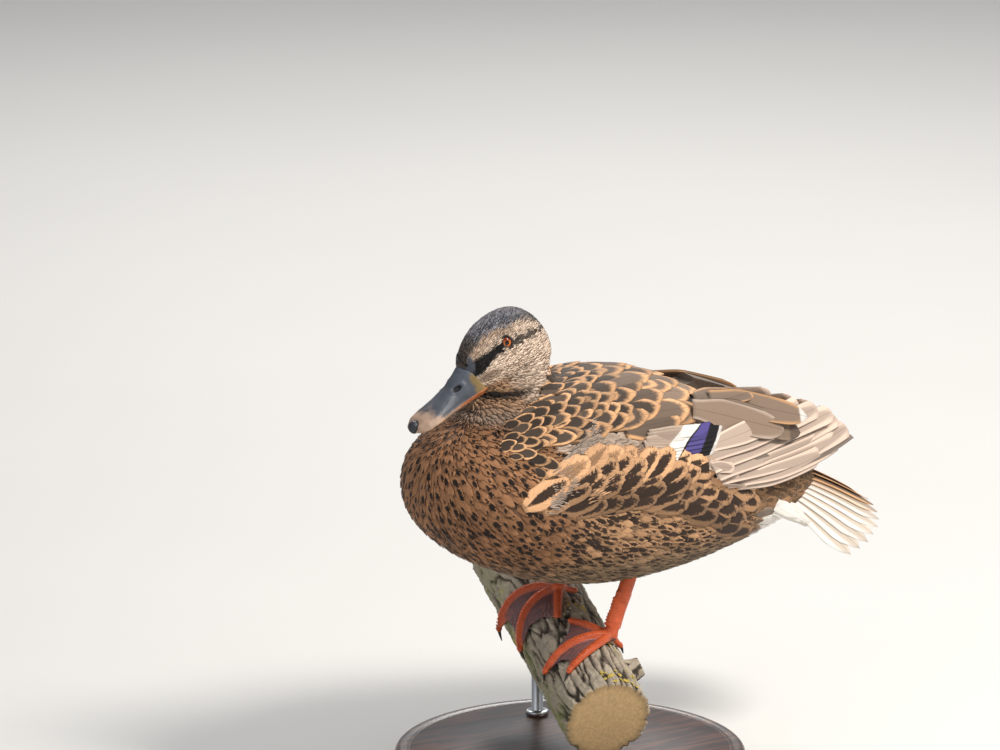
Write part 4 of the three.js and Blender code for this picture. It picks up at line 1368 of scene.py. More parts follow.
def scapular_rows(skin):
    """Where the left shoulder's feather tips lie: along the body, turn round it, and row from below."""
    grid = np.linspace(*SCAPULAR_REACH, 100)
    steps = np.diff(grid) / np.interp(grid[:-1], *SCAPULAR_SPACING)
    numbers = np.concatenate(([0], np.cumsum(steps)))
    edge, _ = side_spots(skin, grid, np.interp(grid, *SCAPULAR_EDGE))
    edge_turn = np.degrees(np.arctan2(edge[:, 2] - BODY_LEVEL - AXIS_HEIGHT, -edge[:, 1]))
    met = ~np.isnan(edge_turn)
    along, turn, order = [], [], []
    fronts = [(row, row, False) for row in range(SCAPULAR_ROWS)]
    rears = [(row, row // 2, True) for row in range(0, SCAPULAR_ROWS, 2)]
    for row, place, rear in sorted(fronts + rears, key=lambda item: (item[0], item[2])):
        share = row / (SCAPULAR_ROWS - 1)
        x = np.interp(np.arange(0.5 * (place % 2), numbers[-1]), numbers, grid)
        x = x[(x > SCAPULAR_PARTING) == rear]
        lowest = np.interp(x, grid[met], edge_turn[met])
        t = lowest + (89 - lowest) * share
        kept = (x > np.interp(t, *SCAPULAR_FRONT)) & (x < 72 + 40 * min(1, share / 0.5) ** 0.7)
        kept &= (t < 70) | (x < 82)
        along.append(x[kept])
        turn.append(t[kept])
        order.append(np.full(kept.sum(), row))
    return tuple(np.concatenate(items) for items in (along, turn, order))


class CoatScapulars(bpy.types.Operator):
    """Lay the dark, buff-edged feathers of the shoulders in rows"""

    bl_idname = "hen.coat_scapulars"
    bl_label = "Shoulder feathers"

    def execute(self, context):
        skin = surface_of("skin")
        chance = random_from(4)
        along, turn, order = scapular_rows(skin)
        along = along + chance.normal(0, 1.0, len(along))
        turn = turn + chance.normal(0, 1.0, len(turn))
        spots, _ = round_spots(skin, along, turn, ("scapular", "wing", "trunk", "neck"))
        found = ~np.isnan(spots[:, 0])
        spacing = doubled(np.interp(along, *SCAPULAR_SPACING)[found])
        from_front = along - np.interp(turn, *SCAPULAR_FRONT)
        small = doubled(np.interp(from_front, *SCAPULAR_GROWTH)[found])
        order, turn = doubled(order[found]), doubled(turn[found])
        spots = mirrored(spots[found])
        count = len(spots)
        slope = np.interp(spots[:, 0], *SCAPULAR_SLOPE) * ramp(64, 36, turn)
        aims = np.column_stack((np.ones(count), -0.1 * np.sign(spots[:, 1]), slope))
        aims = aims + chance.normal(0, 0.08, (count, 3))
        shape = spaced_sizes(
            spacing, chance, length=2.2, width=0.5, rise=2.3, camber=0.05, blunt=1.3, fray=0.05, stem=0.55,
            point=0.6,
        )
        shape.length = shape.length * small**1.2
        shape.width = np.interp(spots[:, 0], *SCAPULAR_WIDTH) * (0.9 + 0.2 * chance.random(count))
        shape.width = shape.width * small**0.7
        shape.sink = 0.1 + 0.07 * order
        shape.rise = shape.rise * small + 0.07 * order
        c = colours()
        inner = (chance.random(count) < 0.2) * ramp(-20, 10, spots[:, 0]) * 0.8
        fresh = chance.random(count)
        edge = blend(c.back_edge, lighter(c.back_edge, 1.4), fresh**2)
        worn = ramp(20, 80, spots[:, 0]) * (0.3 + 0.6 * chance.random(count)) + 0.25 * chance.random(count)
        core = blend(c.back_centre, c.tertial, np.clip(worn, 0, 1))
        broad = ramp(-45, -62, spots[:, 0]) * ramp(60, 40, turn)
        mark = (0.38 + 0.05 * fresh - 0.05 * broad, 0.46, 0.7 + 0.2 * chance.random(count) - 0.14 * broad)
        looks = looks_of(count, core, edge, mark, inner, lengths=shape.length, chance=chance)
        spines = traced_back(skin, spots, aims, shape.length, 12)
        material = feather_material("Shoulder feathers", 0.68, 0.1, 0.2, variation=0.26)
        lay("feathers_shoulder", "scapular", GROUPS["scapular"], material, spines, shape, looks, (12, 12),
            body_patches(spots), surface=skin)
        return {"FINISHED"}


class CoatFlanks(bpy.types.Operator):
    """Lay the large soft flank feathers over the wing's lower edge, and the down above them"""

    bl_idname = "hen.coat_flanks"
    bl_label = "Flank feathers"

    def execute(self, context):
        skin = surface_of("skin")
        chance = random_from(5)
        tips, order = [], []
        first, last = FLANK_REACH
        for row in range(FLANK_ROWS):
            for x in np.arange(first + FLANK_SPACING / 2 * (row % 2), last, FLANK_SPACING):
                if x < first + 6 * row:
                    continue
                height = flank_edge(x) - FLANK_ROW_GAP * row
                tips.append((x + chance.normal(0, 1.6), height + chance.normal(0, 1.2)))
                order.append(row)
        tips, order = np.array(tips), np.array(order)
        low = order / (FLANK_ROWS - 1)
        slope = np.interp(tips[:, 0], FLANK_STATIONS, FLANK_TOP_SLOPES) * (1 - low)
        slope = slope + np.interp(tips[:, 0], FLANK_STATIONS, FLANK_LOW_SLOPES) * low
        way = unit(np.column_stack((np.ones(len(slope)), slope + chance.normal(0, 0.08, len(slope)))))
        spacing = np.interp(order, [0, FLANK_ROWS - 1], [14.5, 12.0])
        spots, _ = side_spots(skin, tips[:, 0], tips[:, 1], BODY_GROUPS)
        found = ~np.isnan(spots[:, 0])
        aims = mirrored(np.column_stack((way[:, 0], np.zeros(len(way)), way[:, 1]))[found])
        spots = mirrored(spots[found])
        order, spacing = doubled(order[found]), doubled(spacing[found])
        count = len(spots)
        shape = spaced_sizes(
            spacing, chance, length=2.6, width=0.6, rise=3.6, camber=0.06, blunt=1.5, fray=0.11, stem=0.5
        )
        shape.rise = (shape.rise - 0.35 * order) * np.interp(spots[:, 0], [-50, -20], [0.7, 1])
        shape.sink = 0.5 - 0.15 * order
        c = colours()
        pale = ramp(25, -5, spots[:, 0]) * ramp(-42, -30, spots[:, 0]) * (order < 1)
        core = blend(c.flank_centre, c.flank, pale * 0.6)
        # Flank edges go from lighter in the top row to darker in the low rows: partly the flank's own
        # colour, partly painted light above and painted shade below.
        edge = blend(c.flank, lighter(c.flank, 1.3), np.clip(1 - 0.4 * order, 0, 1))
        edge = edge * (1 - 0.12 * order)[:, None]
        mark = (0.5, 0.4, 0.3 + 0.2 * chance.random(count) + 0.05 * order)
        looks = looks_of(count, core, edge, mark, lengths=shape.length, chance=chance)
        spines = traced_back(skin, spots, aims, shape.length, 12)
        material = feather_material("Flank feathers", 0.8, 0.3, 0.4, variation=0.2)
        lay("feathers_flank", "plumage", ["trunk", *WINGS], material, spines, shape, looks, (12, 18),
            body_patches(spots), surface=skin)
        self.add_down(skin, chance)
        return {"FINISHED"}

    def add_down(self, skin, chance):
        """The loose grey down at the bend of each wing, and the long buff barbs behind it."""
        c = colours()
        # How many; reach along the body; band over the flank's edge; slope; length; colour; looseness.
        kinds = (
            (900, (-64, -24), (-5, 13), 0.5, 9.0, lighter(c.covert, 1.2), 0.35),
            (700, (-42, 4), (-25, -8), 0.8, 15.0, lighter(c.flank, 1.2), 0.14),
        )
        spots, lengths, aims, tones = [], [], [], []
        for count, reach, band, slope, long, tint, loose in kinds:
            along = chance.uniform(*reach, count)
            height = flank_edge(along) + chance.uniform(*band, count)
            places, _ = side_spots(skin, along, height, BODY_GROUPS)
            places = places[~np.isnan(places[:, 0])]
            count = len(places)
            spots.append(mirrored(places))
            lengths.append(np.full(2 * count, long))
            rises = chance.normal(slope, loose, count)
            aims.append(mirrored(np.column_stack((np.ones(count), np.zeros(count), rises))))
            tones.append(tint * (0.6 + 0.45 * chance.random((2 * count, 1))))
        spots, lengths, aims, tones = (np.concatenate(items) for items in (spots, lengths, aims, tones))
        count = len(spots)
        shape = spaced_sizes(
            lengths, chance, length=1.0, width=0.07, rise=3.0, camber=0.01, blunt=0.5, fray=0.1, sink=0.6,
            point=1.0, taper=0.6,
        )
        looks = looks_of(count, tones, tones * 1.05, (0.5, 0.5, 0.5), lengths=10.0, chance=chance)
        spines = traced(skin, spots, aims, shape.length, 5, 0.1)
        material = feather_material("Wing down", 0.9, 0.1, 0.2, sheen=0.2)
        lay("feathers_down", "plumage", WINGS, material, spines, shape, looks, (5, 2), body_patches(spots),
            surface=skin)


# ---- Quills ----


def guide_spots(guide, along, height):
    """Places on the folded wing; past its edges, the nearest place above or below takes over."""
    spots, outs = side_spots(guide, along, height)
    for shift in (3, -3, 6, -6, 9, -9, 12, 16):
        missed = np.isnan(spots[:, 0])
        if missed.any():
            spots[missed], outs[missed] = side_spots(guide, along[missed], height[missed] + shift)
    return spots, outs


def quill_spines(guide, routes, rows, lifts, bends):
    """Spines of wing quills that lie over the folded wing.

    A route is a quill's root and tip from the side, and its lift is how far they stand off the wing.
    bends is 1 for straight quills and 2 for ones that follow the wing's bulge.
    """
    share = np.linspace(0, 1, rows + 1)
    places, normals, aheads = [], [], []
    for (root, tip), lift in zip(routes, lifts):
        line = np.outer(1 - share, root) + np.outer(share, tip)
        spots, outs = guide_spots(guide, line[:, 0], line[:, 1])
        hit = ~np.isnan(spots[:, 0])
        fit = np.polyfit(line[hit, 0], spots[hit, 1], bends if hit.sum() > 5 else 1)
        last = line[hit, 0].max()
        slope = np.polyval(np.polyder(fit), last)
        inside = np.minimum(line[:, 0], last)
        beside = np.polyval(fit, inside) + slope * (line[:, 0] - inside)
        path = np.column_stack((line[:, 0], beside, line[:, 1] + BODY_LEVEL))
        out = unit(np.nanmean(outs[hit], axis=0) + (0, 0, 0.4 * ramp(143, 148, root[1])))
        ahead = unit(np.gradient(path, axis=0))
        normal = across(np.tile(out, (rows + 1, 1)), ahead)
        places.append(path + normal * (lift[0] + (lift[1] - lift[0]) * share**0.6)[:, None])
        normals.append(normal)
        aheads.append(ahead)
    return tuple(np.array(items) for items in (places, normals, aheads))


def both_sides(spines):
    """Left spines followed by their mirror images."""
    return tuple(mirrored(item) for item in spines)


def spine_lengths(spines):
    return np.linalg.norm(np.diff(spines[0], axis=1), axis=2).sum(axis=1)


BAR_SLANT = 1.16  # how far the speculum's bars move back for each mm up
BAR_LEVEL = 122.8  # the height over the body level where the bars' places along the body are given
QUILL_GRID = (26, 12)
# Roots and tips of quills from the side: along the body, and height over the body level.
PRIMARIES = (
    ((58, 119), (172, 120)), ((60, 113), (189, 114.5)), ((62, 107), (203, 109.5)), ((66, 101), (213, 103)),
    ((72, 97), (222, 95.5)), ((80, 93), (206, 93)), ((86, 90), (176, 91)),
)
PRIMARY_COVERTS = (((60, 108), (81, 103)), ((66, 101), (88, 96.5)), ((74, 93), (95, 90)))
TERTIALS = (
    ((60, 142), (139, 110.8)), ((72, 141), (157, 105.5)), ((85, 142), (163, 115)),
    ((75, 143.5), (121, 134.5)),
)
BARRED = 9  # how many secondaries, and how many greater coverts, each wing shows


def barred_routes(top, bottom, at_level, span, drop):
    """Routes of the quills that end in the speculum's slanting bars."""
    height = np.linspace(top, bottom, BARRED)
    tips = np.column_stack((at_level + BAR_SLANT * (height - BAR_LEVEL), height))
    roots = tips + np.column_stack((np.full(BARRED, -span), np.linspace(drop, 2, BARRED)))
    return list(zip(roots, tips))


def stacked(count, root, root_step, tip, tip_step):
    """Lifts of the roots and tips of quills that lie over each other, the first one on top."""
    above = np.arange(count)[::-1]
    return np.column_stack((root + root_step * above, tip + tip_step * above))


class BuildQuills(bpy.types.Operator):
    """Make the folded wings' primaries, secondaries with the speculum, and tertials"""

    bl_idname = "hen.build_quills"
    bl_label = "Wing quills"

    def execute(self, context):
        sides = ("left", "right")
        parts = ("scapulars", "wing", "tertials", "primaries")
        guide = Surface(node_copy(*(f"{part}_{side}" for part in parts for side in sides)))
        chance = random_from(6)
        smooth = feather_material("Wing quills", 0.58, 0.02, 0.12, rim=0.75, variation=0.1)
        glossy = feather_material("Speculum", 0.42, 0.02, 0.2, sheen=0.0, coat=0.1)
        c = colours()
        bars = {"camber": 0.2, "blunt": 0.3, "slant": BAR_SLANT}
        # Name; nodes; material; routes; lifts; half widths; looks; shape.
        kinds = (
            ("primary", "primaries", smooth, PRIMARIES, stacked(7, -1.2, 0.3, 0.1, 0.6), 7.8, {
                "core": c.quill, "edge": lighter(c.quill, 1.7), "mark": (0.42, 0.62, 0.8),
                "tip": (lighter(c.quill, 1.5), 0.985),
            }, {"camber": 0.25, "fray": 0.004}),
            ("secondary", "wing", glossy, barred_routes(127.5, 110.5, 77.3, 56, 5),
             stacked(BARRED, -1.6, 0, -0.4, 0.3), 4.2, {
                "core": c.speculum, "edge": c.speculum * 0.6, "mark": (0.5, 2.0, 0.93),
                "bar": (c.black, 0.75), "tip": (c.white, 0.94),
            }, {"fray": 0.006, **bars}),
            ("covert", "wing", glossy, barred_routes(131, 118.5, 45.4, 38, 4),
             stacked(BARRED, -1.2, 0, 0.4, 0.25), 4.2, {
                "core": c.covert * 0.9, "edge": lighter(c.covert, 1.1), "mark": (0.4, 0.6, 0.7),
                "bar": (c.white, 0.58), "tip": (c.black, 0.95),
            }, {"fray": 0.012, **bars}),
            ("primary_covert", "primaries", smooth, PRIMARY_COVERTS, ((0.6, 3.0),) * 3, (4.2, 4.0, 3.6), {
                "core": c.quill * 0.85, "edge": lighter(c.quill, 1.5), "mark": (0.4, 0.5, 0.74),
            }, {"camber": 0.4, "fray": 0.01}),
            ("tertial", "tertials", smooth, TERTIALS, ((0.5, 9.0), (-0.6, 7.4), (0.0, 6.4), (0.0, 4.4)),
             (11.4, 10.8, 11.0, 8.5), {
                "core": np.tile([c.tertial * share for share in (1.15, 0.85, 0.95, 0.75)], (2, 1)),
                "edge": np.tile([c.quill * 1.1, c.tertial, c.back_edge, c.back_edge], (2, 1)),
                "mark": (0.4, 0.62, 0.88),
                # The second tertial's dark tip is painted shade at its lower end.
                "tip": (np.tile([c.quill, c.tertial * 0.5, c.white * 0.9, c.back_edge], (2, 1)),
                        np.tile([0.985, 0.88, 0.92, 0.95], 2)),
            }, {"camber": 0.8, "blunt": 2.0, "fray": 0.015, "point": 0.3, "taper": 0.15, "bends": 1}),
        )
        for name, part, material, routes, lifts, widths, looks, more in kinds:
            shaping = {"blunt": 1.1, "slant": 0.0, "bends": 2, **more}
            slant = shaping.pop("slant")
            spines = both_sides(quill_spines(guide, routes, QUILL_GRID[0], lifts, shaping.pop("bends")))
            lengths = spine_lengths(spines)
            count = len(lengths)
            shape = feather_sizes(lengths, doubled(np.broadcast_to(widths, count // 2)), **shaping)
            shape.slant = slant * shape.width / lengths * np.repeat((1, -1), count // 2)
            given = looks_of(count, **looks, lengths=lengths, chance=chance)
            lay(f"quills_{name}", "flight", [f"{part}_{side}" for side in sides], material, spines, shape,
                given, QUILL_GRID, wide_patches(count), thick=0.28)
        return {"FINISHED"}


class BuildTail(bpy.types.Operator):
    """Make the spread tail and the long coverts under its root"""

    bl_idname = "hen.build_tail"
    bl_label = "Tail"

    def execute(self, context):
        chance = random_from(7)
        rows, count, spread_turn = 22, 18, 50
        turns = np.linspace(-spread_turn, spread_turn, count)
        share = np.abs(turns) / spread_turn
        turn = np.radians(turns)
        pitch = np.radians(27 + 15 * share**2)
        way = np.column_stack((np.cos(turn) * np.cos(pitch), np.sin(turn) * np.cos(pitch), -np.sin(pitch)))
        root = np.column_stack((157 - 6 * share, np.sign(turns) * 12 * share, 84 - 8 * share + BODY_LEVEL))
        lengths = 93 - 17 * share**1.8
        steps = np.linspace(0, 1, rows + 1)[None, :, None]
        sag = -2.5 * np.sin(math.pi * steps)
        places = root[:, None] + way[:, None] * lengths[:, None, None] * steps - UP * sag
        spread = np.gradient(places, axis=0)
        normal = np.cross(np.gradient(places, axis=1), spread)
        normal = unit(normal * np.sign(normal[..., 2:]))
        places = places + normal * ((1 - share) * 3.2)[:, None, None]
        aheads = unit(np.gradient(places, axis=1))
        normals = across(normal, aheads)
        c = colours()
        middle = ramp(0.42, 0.2, share)
        core = blend(c.white * (0.8, 0.72, 0.64), c.tertial * 0.8, middle)
        core = core * (1 - 0.12 * chance.random(count))[:, None]
        edge = blend(c.white, c.back_edge * 1.2, middle)
        looks = looks_of(count, core, edge, (0.4, 0.62, 0.62), lengths=lengths, chance=chance)
        shape = feather_sizes(lengths, 10 - 0.5 * share, 0.3, 1.2, point=1.0, fray=0.03, taper=0.0)
        material = feather_material("Tail feathers", 0.62, 0.04, 0.1, variation=0.08)
        lay("quills_tail", "tail", ["tail"], material, (places, normals, aheads), shape, looks, (rows, 12),
            wide_patches(count), thick=0.3)
        self.add_undertail(chance)
        return {"FINISHED"}

    def add_undertail(self, chance):
        """The soft white feathers on both sides under the tail's root."""
        columns, layers = 11, 4
        count = columns * layers
        share = np.tile(np.linspace(0, 1, columns), layers)
        layer = np.repeat(np.arange(layers), columns)
        height = 70.5 - 9 * share - 1.4 * layer + BODY_LEVEL
        root = np.column_stack((127 + 24 * share, -44 + 14 * share + 1.0 * layer, height))
        way = unit(np.array((33.7, 2, -22)) + chance.normal(0, 1.6, (count, 3)))
        lengths = 36 - 4.0 * layer + chance.normal(0, 1.2, count)
        steps = np.linspace(0, 1, 9)[None, :, None]
        places = root[:, None] + way[:, None] * lengths[:, None, None] * steps
        aheads = unit(np.gradient(places, axis=1))
        normals = across(np.broadcast_to((0.35, -0.9, -0.25), places.shape), aheads)
        spines = both_sides((places, normals, aheads))
        lengths = doubled(lengths)
        c = colours()
        core = c.white * (0.86 + 0.14 * chance.random((2 * count, 1)))
        looks = looks_of(2 * count, core, c.white, (0.4, 0.6, 0.5), lengths=lengths, chance=chance)
        shape = feather_sizes(lengths, np.full(2 * count, 3.8), 0.5, 1.2, point=1.2, fray=0.2)
        material = feather_material("Undertail", 0.8, 0.1, 0.14, variation=0.06)
        lay("feathers_undertail", "plumage", ["tail"], material, spines, shape, looks, (8, 10),
            wide_patches(2 * count), thick=0.2)


# ---- Bill, eyes and claws ----


class BuildBill(bpy.types.Operator):
    """Make the bill with its nostrils, lip and nail"""

    bl_idname = "hen.build_bill"
    bl_label = "Bill"

    def execute(self, context):
        detail = context.scene.hen_sizes.bill_detail
        horn = painted_material("Bill horn", 260, 0.16, 0.08, Roughness=0.5)
        c = colours()
        for node in ("bill_upper", "bill_lower"):
            piece = remeshed(node + "_horn", node_copy(node), detail, 7)
            mesh = piece.data
            points = read(mesh.vertices, "co") / MM
            normals = read(mesh.vertices, "normal")
            ahead, side, height = HEAD.inside(points).T
            side = np.abs(side)
            over_lip = height - lip_level(ahead)
            out = pit = np.zeros(len(points))
            if node == "bill_upper":
                turned = (ahead - NOSTRIL[0]) * 0.98 - (height - NOSTRIL[2]) * 0.19
                rise = (height - NOSTRIL[2]) * 0.98 + (ahead - NOSTRIL[0]) * 0.19
                oval = np.hypot(turned / 3.6, rise / 1.5) + ramp(3.2, 1.5, side) * 4
                pit = ramp(1.0, 0.55, oval)
                rim = np.exp(-(((oval - 1.35) / 0.3) ** 2))
                out = 0.28 * rim - 1.9 * pit
                groove = np.exp(-(((over_lip - 2.6) / 0.5) ** 2)) * ramp(8, 20, ahead) * ramp(2, 6, side)
                out = out - 0.22 * groove
            veins = np.array([noise.fractal(Vector(point) * 0.16, 1.0, 2.0, 4) for point in points])
            move_points(mesh, points + normals * (out + 0.05 * veins)[:, None])
            tip = ramp(35, 46, ahead + veins * 6 + ramp(5, 1, over_lip) * 6)
            ground = blend(c.bill, c.bill_tip, tip * 0.85)
            ground = blend(ground, lighter(c.bill, 1.4), ramp(13, 3, ahead) * ramp(11, 16, height))
            base = ramp(8, 2.5, ahead + veins * 4) * ramp(5, 8, side) * ramp(16, 12, height)
            ground = blend(ground, c.bill_base, base * 0.85)
            lip = ramp(1.9, 0.6, over_lip) * ramp(4, 7, side)
            ground = blend(ground, blend(c.bill_lip, c.bill_tip, ramp(10, 30, ahead)), lip * 0.9)
            # Painted shade: the nostril's pit is painted near black, as the inside of a deep hole.
            ground = blend(ground, c.black * 0.5, pit)
            ground = ground * (1 + 0.25 * veins)[:, None]
            set_tone(mesh, np.clip(ground, 0, 1))
            ready(piece, "bill", node, material=horn)
        nail = remeshed("bill_nail_horn", node_copy("bill_nail"), detail * 0.7, 8)
        set_tone(nail.data, c.nail)
        ready(nail, "nail", "bill_nail", material=horn)
        return {"FINISHED"}


def eye_material():
    graph = Graph("Eye", Roughness=0.3, Coat_Weight=0.6, Coat_Roughness=0.03, IOR=1.376)
    graph.shader.inputs["Specular IOR Level"].default_value = 0.25
    sideways, upward, _ = graph.split(graph.attribute("ball")["Vector"])
    flat = graph.vector(sideways, upward, 0.0)
    radius = graph.vector_math("LENGTH", flat)["Value"]
    spoke = graph.vector_math("NORMALIZE", flat)[0]
    fibre = graph.noise(spoke, 9, 6, 0.7)
    ring = colours().iris
    iris = varied(graph, ring, fibre, 0.5)
    # Painted shade: the upper part of the iris is painted darker, as under the lid.
    upper = graph.math("ADD", upward, graph.math("MULTIPLY", sideways, 0.2))
    iris = graph.mix(graph.step(0.05, 0.4, upper), iris, ring * (0.3, 0.12, 0.2))
    iris = graph.mix(graph.step(0.46, 0.6, radius), iris, ring * 0.12)
    iris = graph.mix(graph.step(0.3, 0.2, radius), iris, ring * 0.4)
    eye = graph.mix(graph.step(0.265, 0.245, radius), iris, (0.004, 0.003, 0.003))
    return graph.finish(eye)


class BuildEyes(bpy.types.Operator):
    """Make the two eyes with iris, pupil and a bulging cornea"""

    bl_idname = "hen.build_eyes"
    bl_label = "Eyes"

    def execute(self, context):
        material = eye_material()
        for name, side in (("eye_left", 1), ("eye_right", -1)):
            centre, axes = eye_frame(side)
            shape = bmesh.new()
            bmesh.ops.create_uvsphere(shape, u_segments=64, v_segments=40, radius=1)
            mesh = bpy.data.meshes.new(name + "_ball")
            shape.to_mesh(mesh)
            shape.free()
            ball = read(mesh.vertices, "co")
            bulge = 1 + 0.07 * ramp(0.72, 0.95, ball[:, 2]) - 0.16 * ramp(0.72, 0.6, ball[:, 2])
            places = HEAD.out(centre + (ball * bulge[:, None] * EYE.radius) @ axes)
            move_points(mesh, places)
            if np.linalg.det(axes) < 0:
                mesh.flip_normals()
            mesh.shade_smooth()
            set_attribute(mesh, "ball", ball)
            ready(link(name + "_ball", mesh), "eye", name, material=material)
        return {"FINISHED"}


class BuildClaws(bpy.types.Operator):
    """Make the smooth black claws"""

    bl_idname = "hen.build_claws"
    bl_label = "Claws"

    def execute(self, context):
        horn = painted_material("Claw horn", 900, 0.3, 0.05, Roughness=0.3, Coat_Weight=0.2)
        for side in ("left", "right"):
            nodes = [f"claw_{side}_{which}" for which in ("inner", "middle", "outer", "hind")]
            piece = link(f"claws_{side}", node_copy(*nodes))
            applied(piece, ("SUBSURF", {"levels": 2, "render_levels": 2}))
            piece.data.shade_smooth()
            set_tone(piece.data, colours().claw)
            ready(piece, "claw", *nodes, material=horn)
        return {"FINISHED"}


# ---- Small things laid on points ----


def studding(name, material):
    """A node tree that sets one flat rounded plate on each point, turned by its own aim and up."""
    tree = bpy.data.node_groups.new(name, "GeometryNodeTree")
    starts = {"Length": 1.0, "Width": 1.0, "Height": 1.0, "Unevenness": 0.15, "Seed": 1}
    tree.interface.new_socket("Geometry", in_out="INPUT", socket_type="NodeSocketGeometry")
    for label, start in starts.items():
        kind = "NodeSocketInt" if label == "Seed" else "NodeSocketFloat"
        tree.interface.new_socket(label, in_out="INPUT", socket_type=kind).default_value = start
    tree.interface.new_socket("Geometry", in_out="OUTPUT", socket_type="NodeSocketGeometry")
    wiring = Wiring(tree)
    add = wiring.output
    given = wiring.node("NodeGroupInput").outputs
    aim, up, size = (
        add("GeometryNodeInputNamedAttribute", {"Name": field}, data_type=kind)
        for field, kind in (("aim", "FLOAT_VECTOR"), ("up", "FLOAT_VECTOR"), ("size", "FLOAT"))
    )
    plate = add("GeometryNodeMeshUVSphere", {"Segments": 8, "Rings": 5, "Radius": 0.5 * MM})
    least, most = (
        add("ShaderNodeMath", {0: 1.0, 1: given["Unevenness"]}, operation=operation)
        for operation in ("SUBTRACT", "ADD")
    )
    # The random value's third and fourth inputs are its least and most for plain numbers.
    uneven = add("FunctionNodeRandomValue", {2: least, 3: most, "Seed": given["Seed"]})
    whole = add("ShaderNodeMath", {0: uneven, 1: size}, operation="MULTIPLY")
    sides = add("ShaderNodeCombineXYZ", {0: given["Length"], 1: given["Width"], 2: given["Height"]})
    scale = add("ShaderNodeVectorMath", {0: sides, "Scale": whole}, operation="SCALE")
    turn = add(
        "FunctionNodeAxesToRotation", {"Primary Axis": up, "Secondary Axis": aim}, primary_axis="Z",
        secondary_axis="X",
    )
    laid = add(
        "GeometryNodeInstanceOnPoints",
        {"Points": given["Geometry"], "Instance": plate, "Rotation": turn, "Scale": scale},
    )
    smooth = add("GeometryNodeSetShadeSmooth", {0: add("GeometryNodeRealizeInstances", {0: laid})})
    wiring.node("NodeGroupOutput", {0: add("GeometryNodeSetMaterial", {0: smooth, "Material": material})})
    return tree


def studded(name, material, points, ups, aims, sizes, **plate):
    """A piece with one plate on each point; plate gives its Length, Width and Height in mm."""
    mesh = bpy.data.meshes.new(name)
    mesh.from_pydata((points * MM).tolist(), [], [])
    set_attribute(mesh, "up", ups)
    set_attribute(mesh, "aim", aims)
    set_attribute(mesh, "size", sizes)
    piece = link(name, mesh)
    modifier = piece.modifiers.new("studding", "NODES")
    modifier.node_group = studding(name, material)
    for item in modifier.node_group.interface.items_tree:
        if item.in_out == "INPUT" and item.name in plate:
            modifier[item.identifier] = plate[item.name]
    return evaluated(piece)


class BuildScutes(bpy.types.Operator):
    """Lay the overlapping scutes on the toes and shanks"""

    bl_idname = "hen.build_scutes"
    bl_label = "Scutes"

    def execute(self, context):
        graph = Graph("Scutes", Roughness=0.38, Coat_Weight=0.1)
        colour = varied(graph, colours().leg, graph.noise(graph.place(), 300, 4), 0.3)
        graph.bump(graph.noise(graph.place(), 1500, 3), 0.4, 0.05)
        material = graph.finish(colour)
        for side, foot in FEET.items():
            plates = []
            for each in foot.toes[:3]:
                reach = np.arange(7.0, each.length, 1.9)
                radius = np.interp(reach, [0, each.length], [TOE_RADIUS, TOE_TIP_RADIUS])
                line = foot_path(foot, each, reach, radius)
                up = unit(foot_path(foot, each, reach, radius + 1) - line)
                on_top = line + up * (radius - 0.12)[:, None]
                plates.append((on_top, up, unit(np.gradient(line, axis=0)), radius / TOE_RADIUS))
            plates.append(self.shank(side))
            piece = studded(
                f"scutes_{side}", material, *(np.concatenate(items) for items in zip(*plates)), Length=2.5,
                Width=4.1, Height=0.45, Unevenness=0.06,
            )
            ready(piece, "leg", f"shank_{side}", f"foot_{side}")
        return {"FINISHED"}

    def shank(self, side):
        """Places down the front of a shank."""
        surface = Surface(node_copy(f"shank_{side}"))
        low, high = surface.points[:, 2].min(), surface.points[:, 2].max()
        heights = np.arange(low + 3, high - 4, 2.0)
        places = []
        for height in heights:
            near = surface.points[np.abs(surface.points[:, 2] - height) < 7]
            places.append((near[:, 0].mean(), near[:, 1].mean(), height))
        middle = np.array(places)
        found, outs = surface.cast(middle + np.array((-30.0, 0, 0)), (1, 0, 0))
        good = ~np.isnan(found[:, 0])
        down = np.tile((0.0, 0.0, -1.0), (good.sum(), 1))
        return found[good] + outs[good] * 0.05, outs[good], down, np.full(good.sum(), 1.15)


# ---- Branch and stand ----


def ring_mesh(name, rings):
    """A closed solid through rings of points, with flat ends."""
    sides = len(rings[0])
    step = np.arange(sides)
    after = (step + 1) % sides
    quads = np.concatenate([
        np.column_stack((start + step, start + after, start + sides + after, start + sides + step))
        for start in range(0, (len(rings) - 1) * sides, sides)
    ])
    ends = [step[::-1], (len(rings) - 1) * sides + step]
    counts = np.concatenate((np.full(len(quads), 4), [sides] * 2))
    return mesh_from(name, np.concatenate(rings), np.concatenate((quads.ravel(), *ends)), counts)


def bark_relief(along, turn, radius):
    """Height of the bark in shares of its depth: long ridges parted by branching furrows."""
    values = np.empty(len(along))
    for i, (a, t, r) in enumerate(zip(along.tolist(), turn.tolist(), radius.tolist())):
        x, y = math.cos(t) * r, math.sin(t) * r
        bend = noise.noise(Vector((a / 20, x / 9, y / 9)))
        long = abs(noise.noise(Vector((a / 34 + 0.4 * bend, x / 5.2 + 0.5 * bend, y / 5.2))))
        cross = abs(noise.noise(Vector((a / 8, x / 7 + 40, y / 7))))
        rough = noise.fractal(Vector((a / 6, x / 2.4, y / 2.4)), 0.8, 2.0, 4)
        furrow = min(1.0, long / 0.24)
        values[i] = furrow**0.8 * (0.72 + 0.28 * min(1.0, cross / 0.12)) + 0.3 * rough
    return values


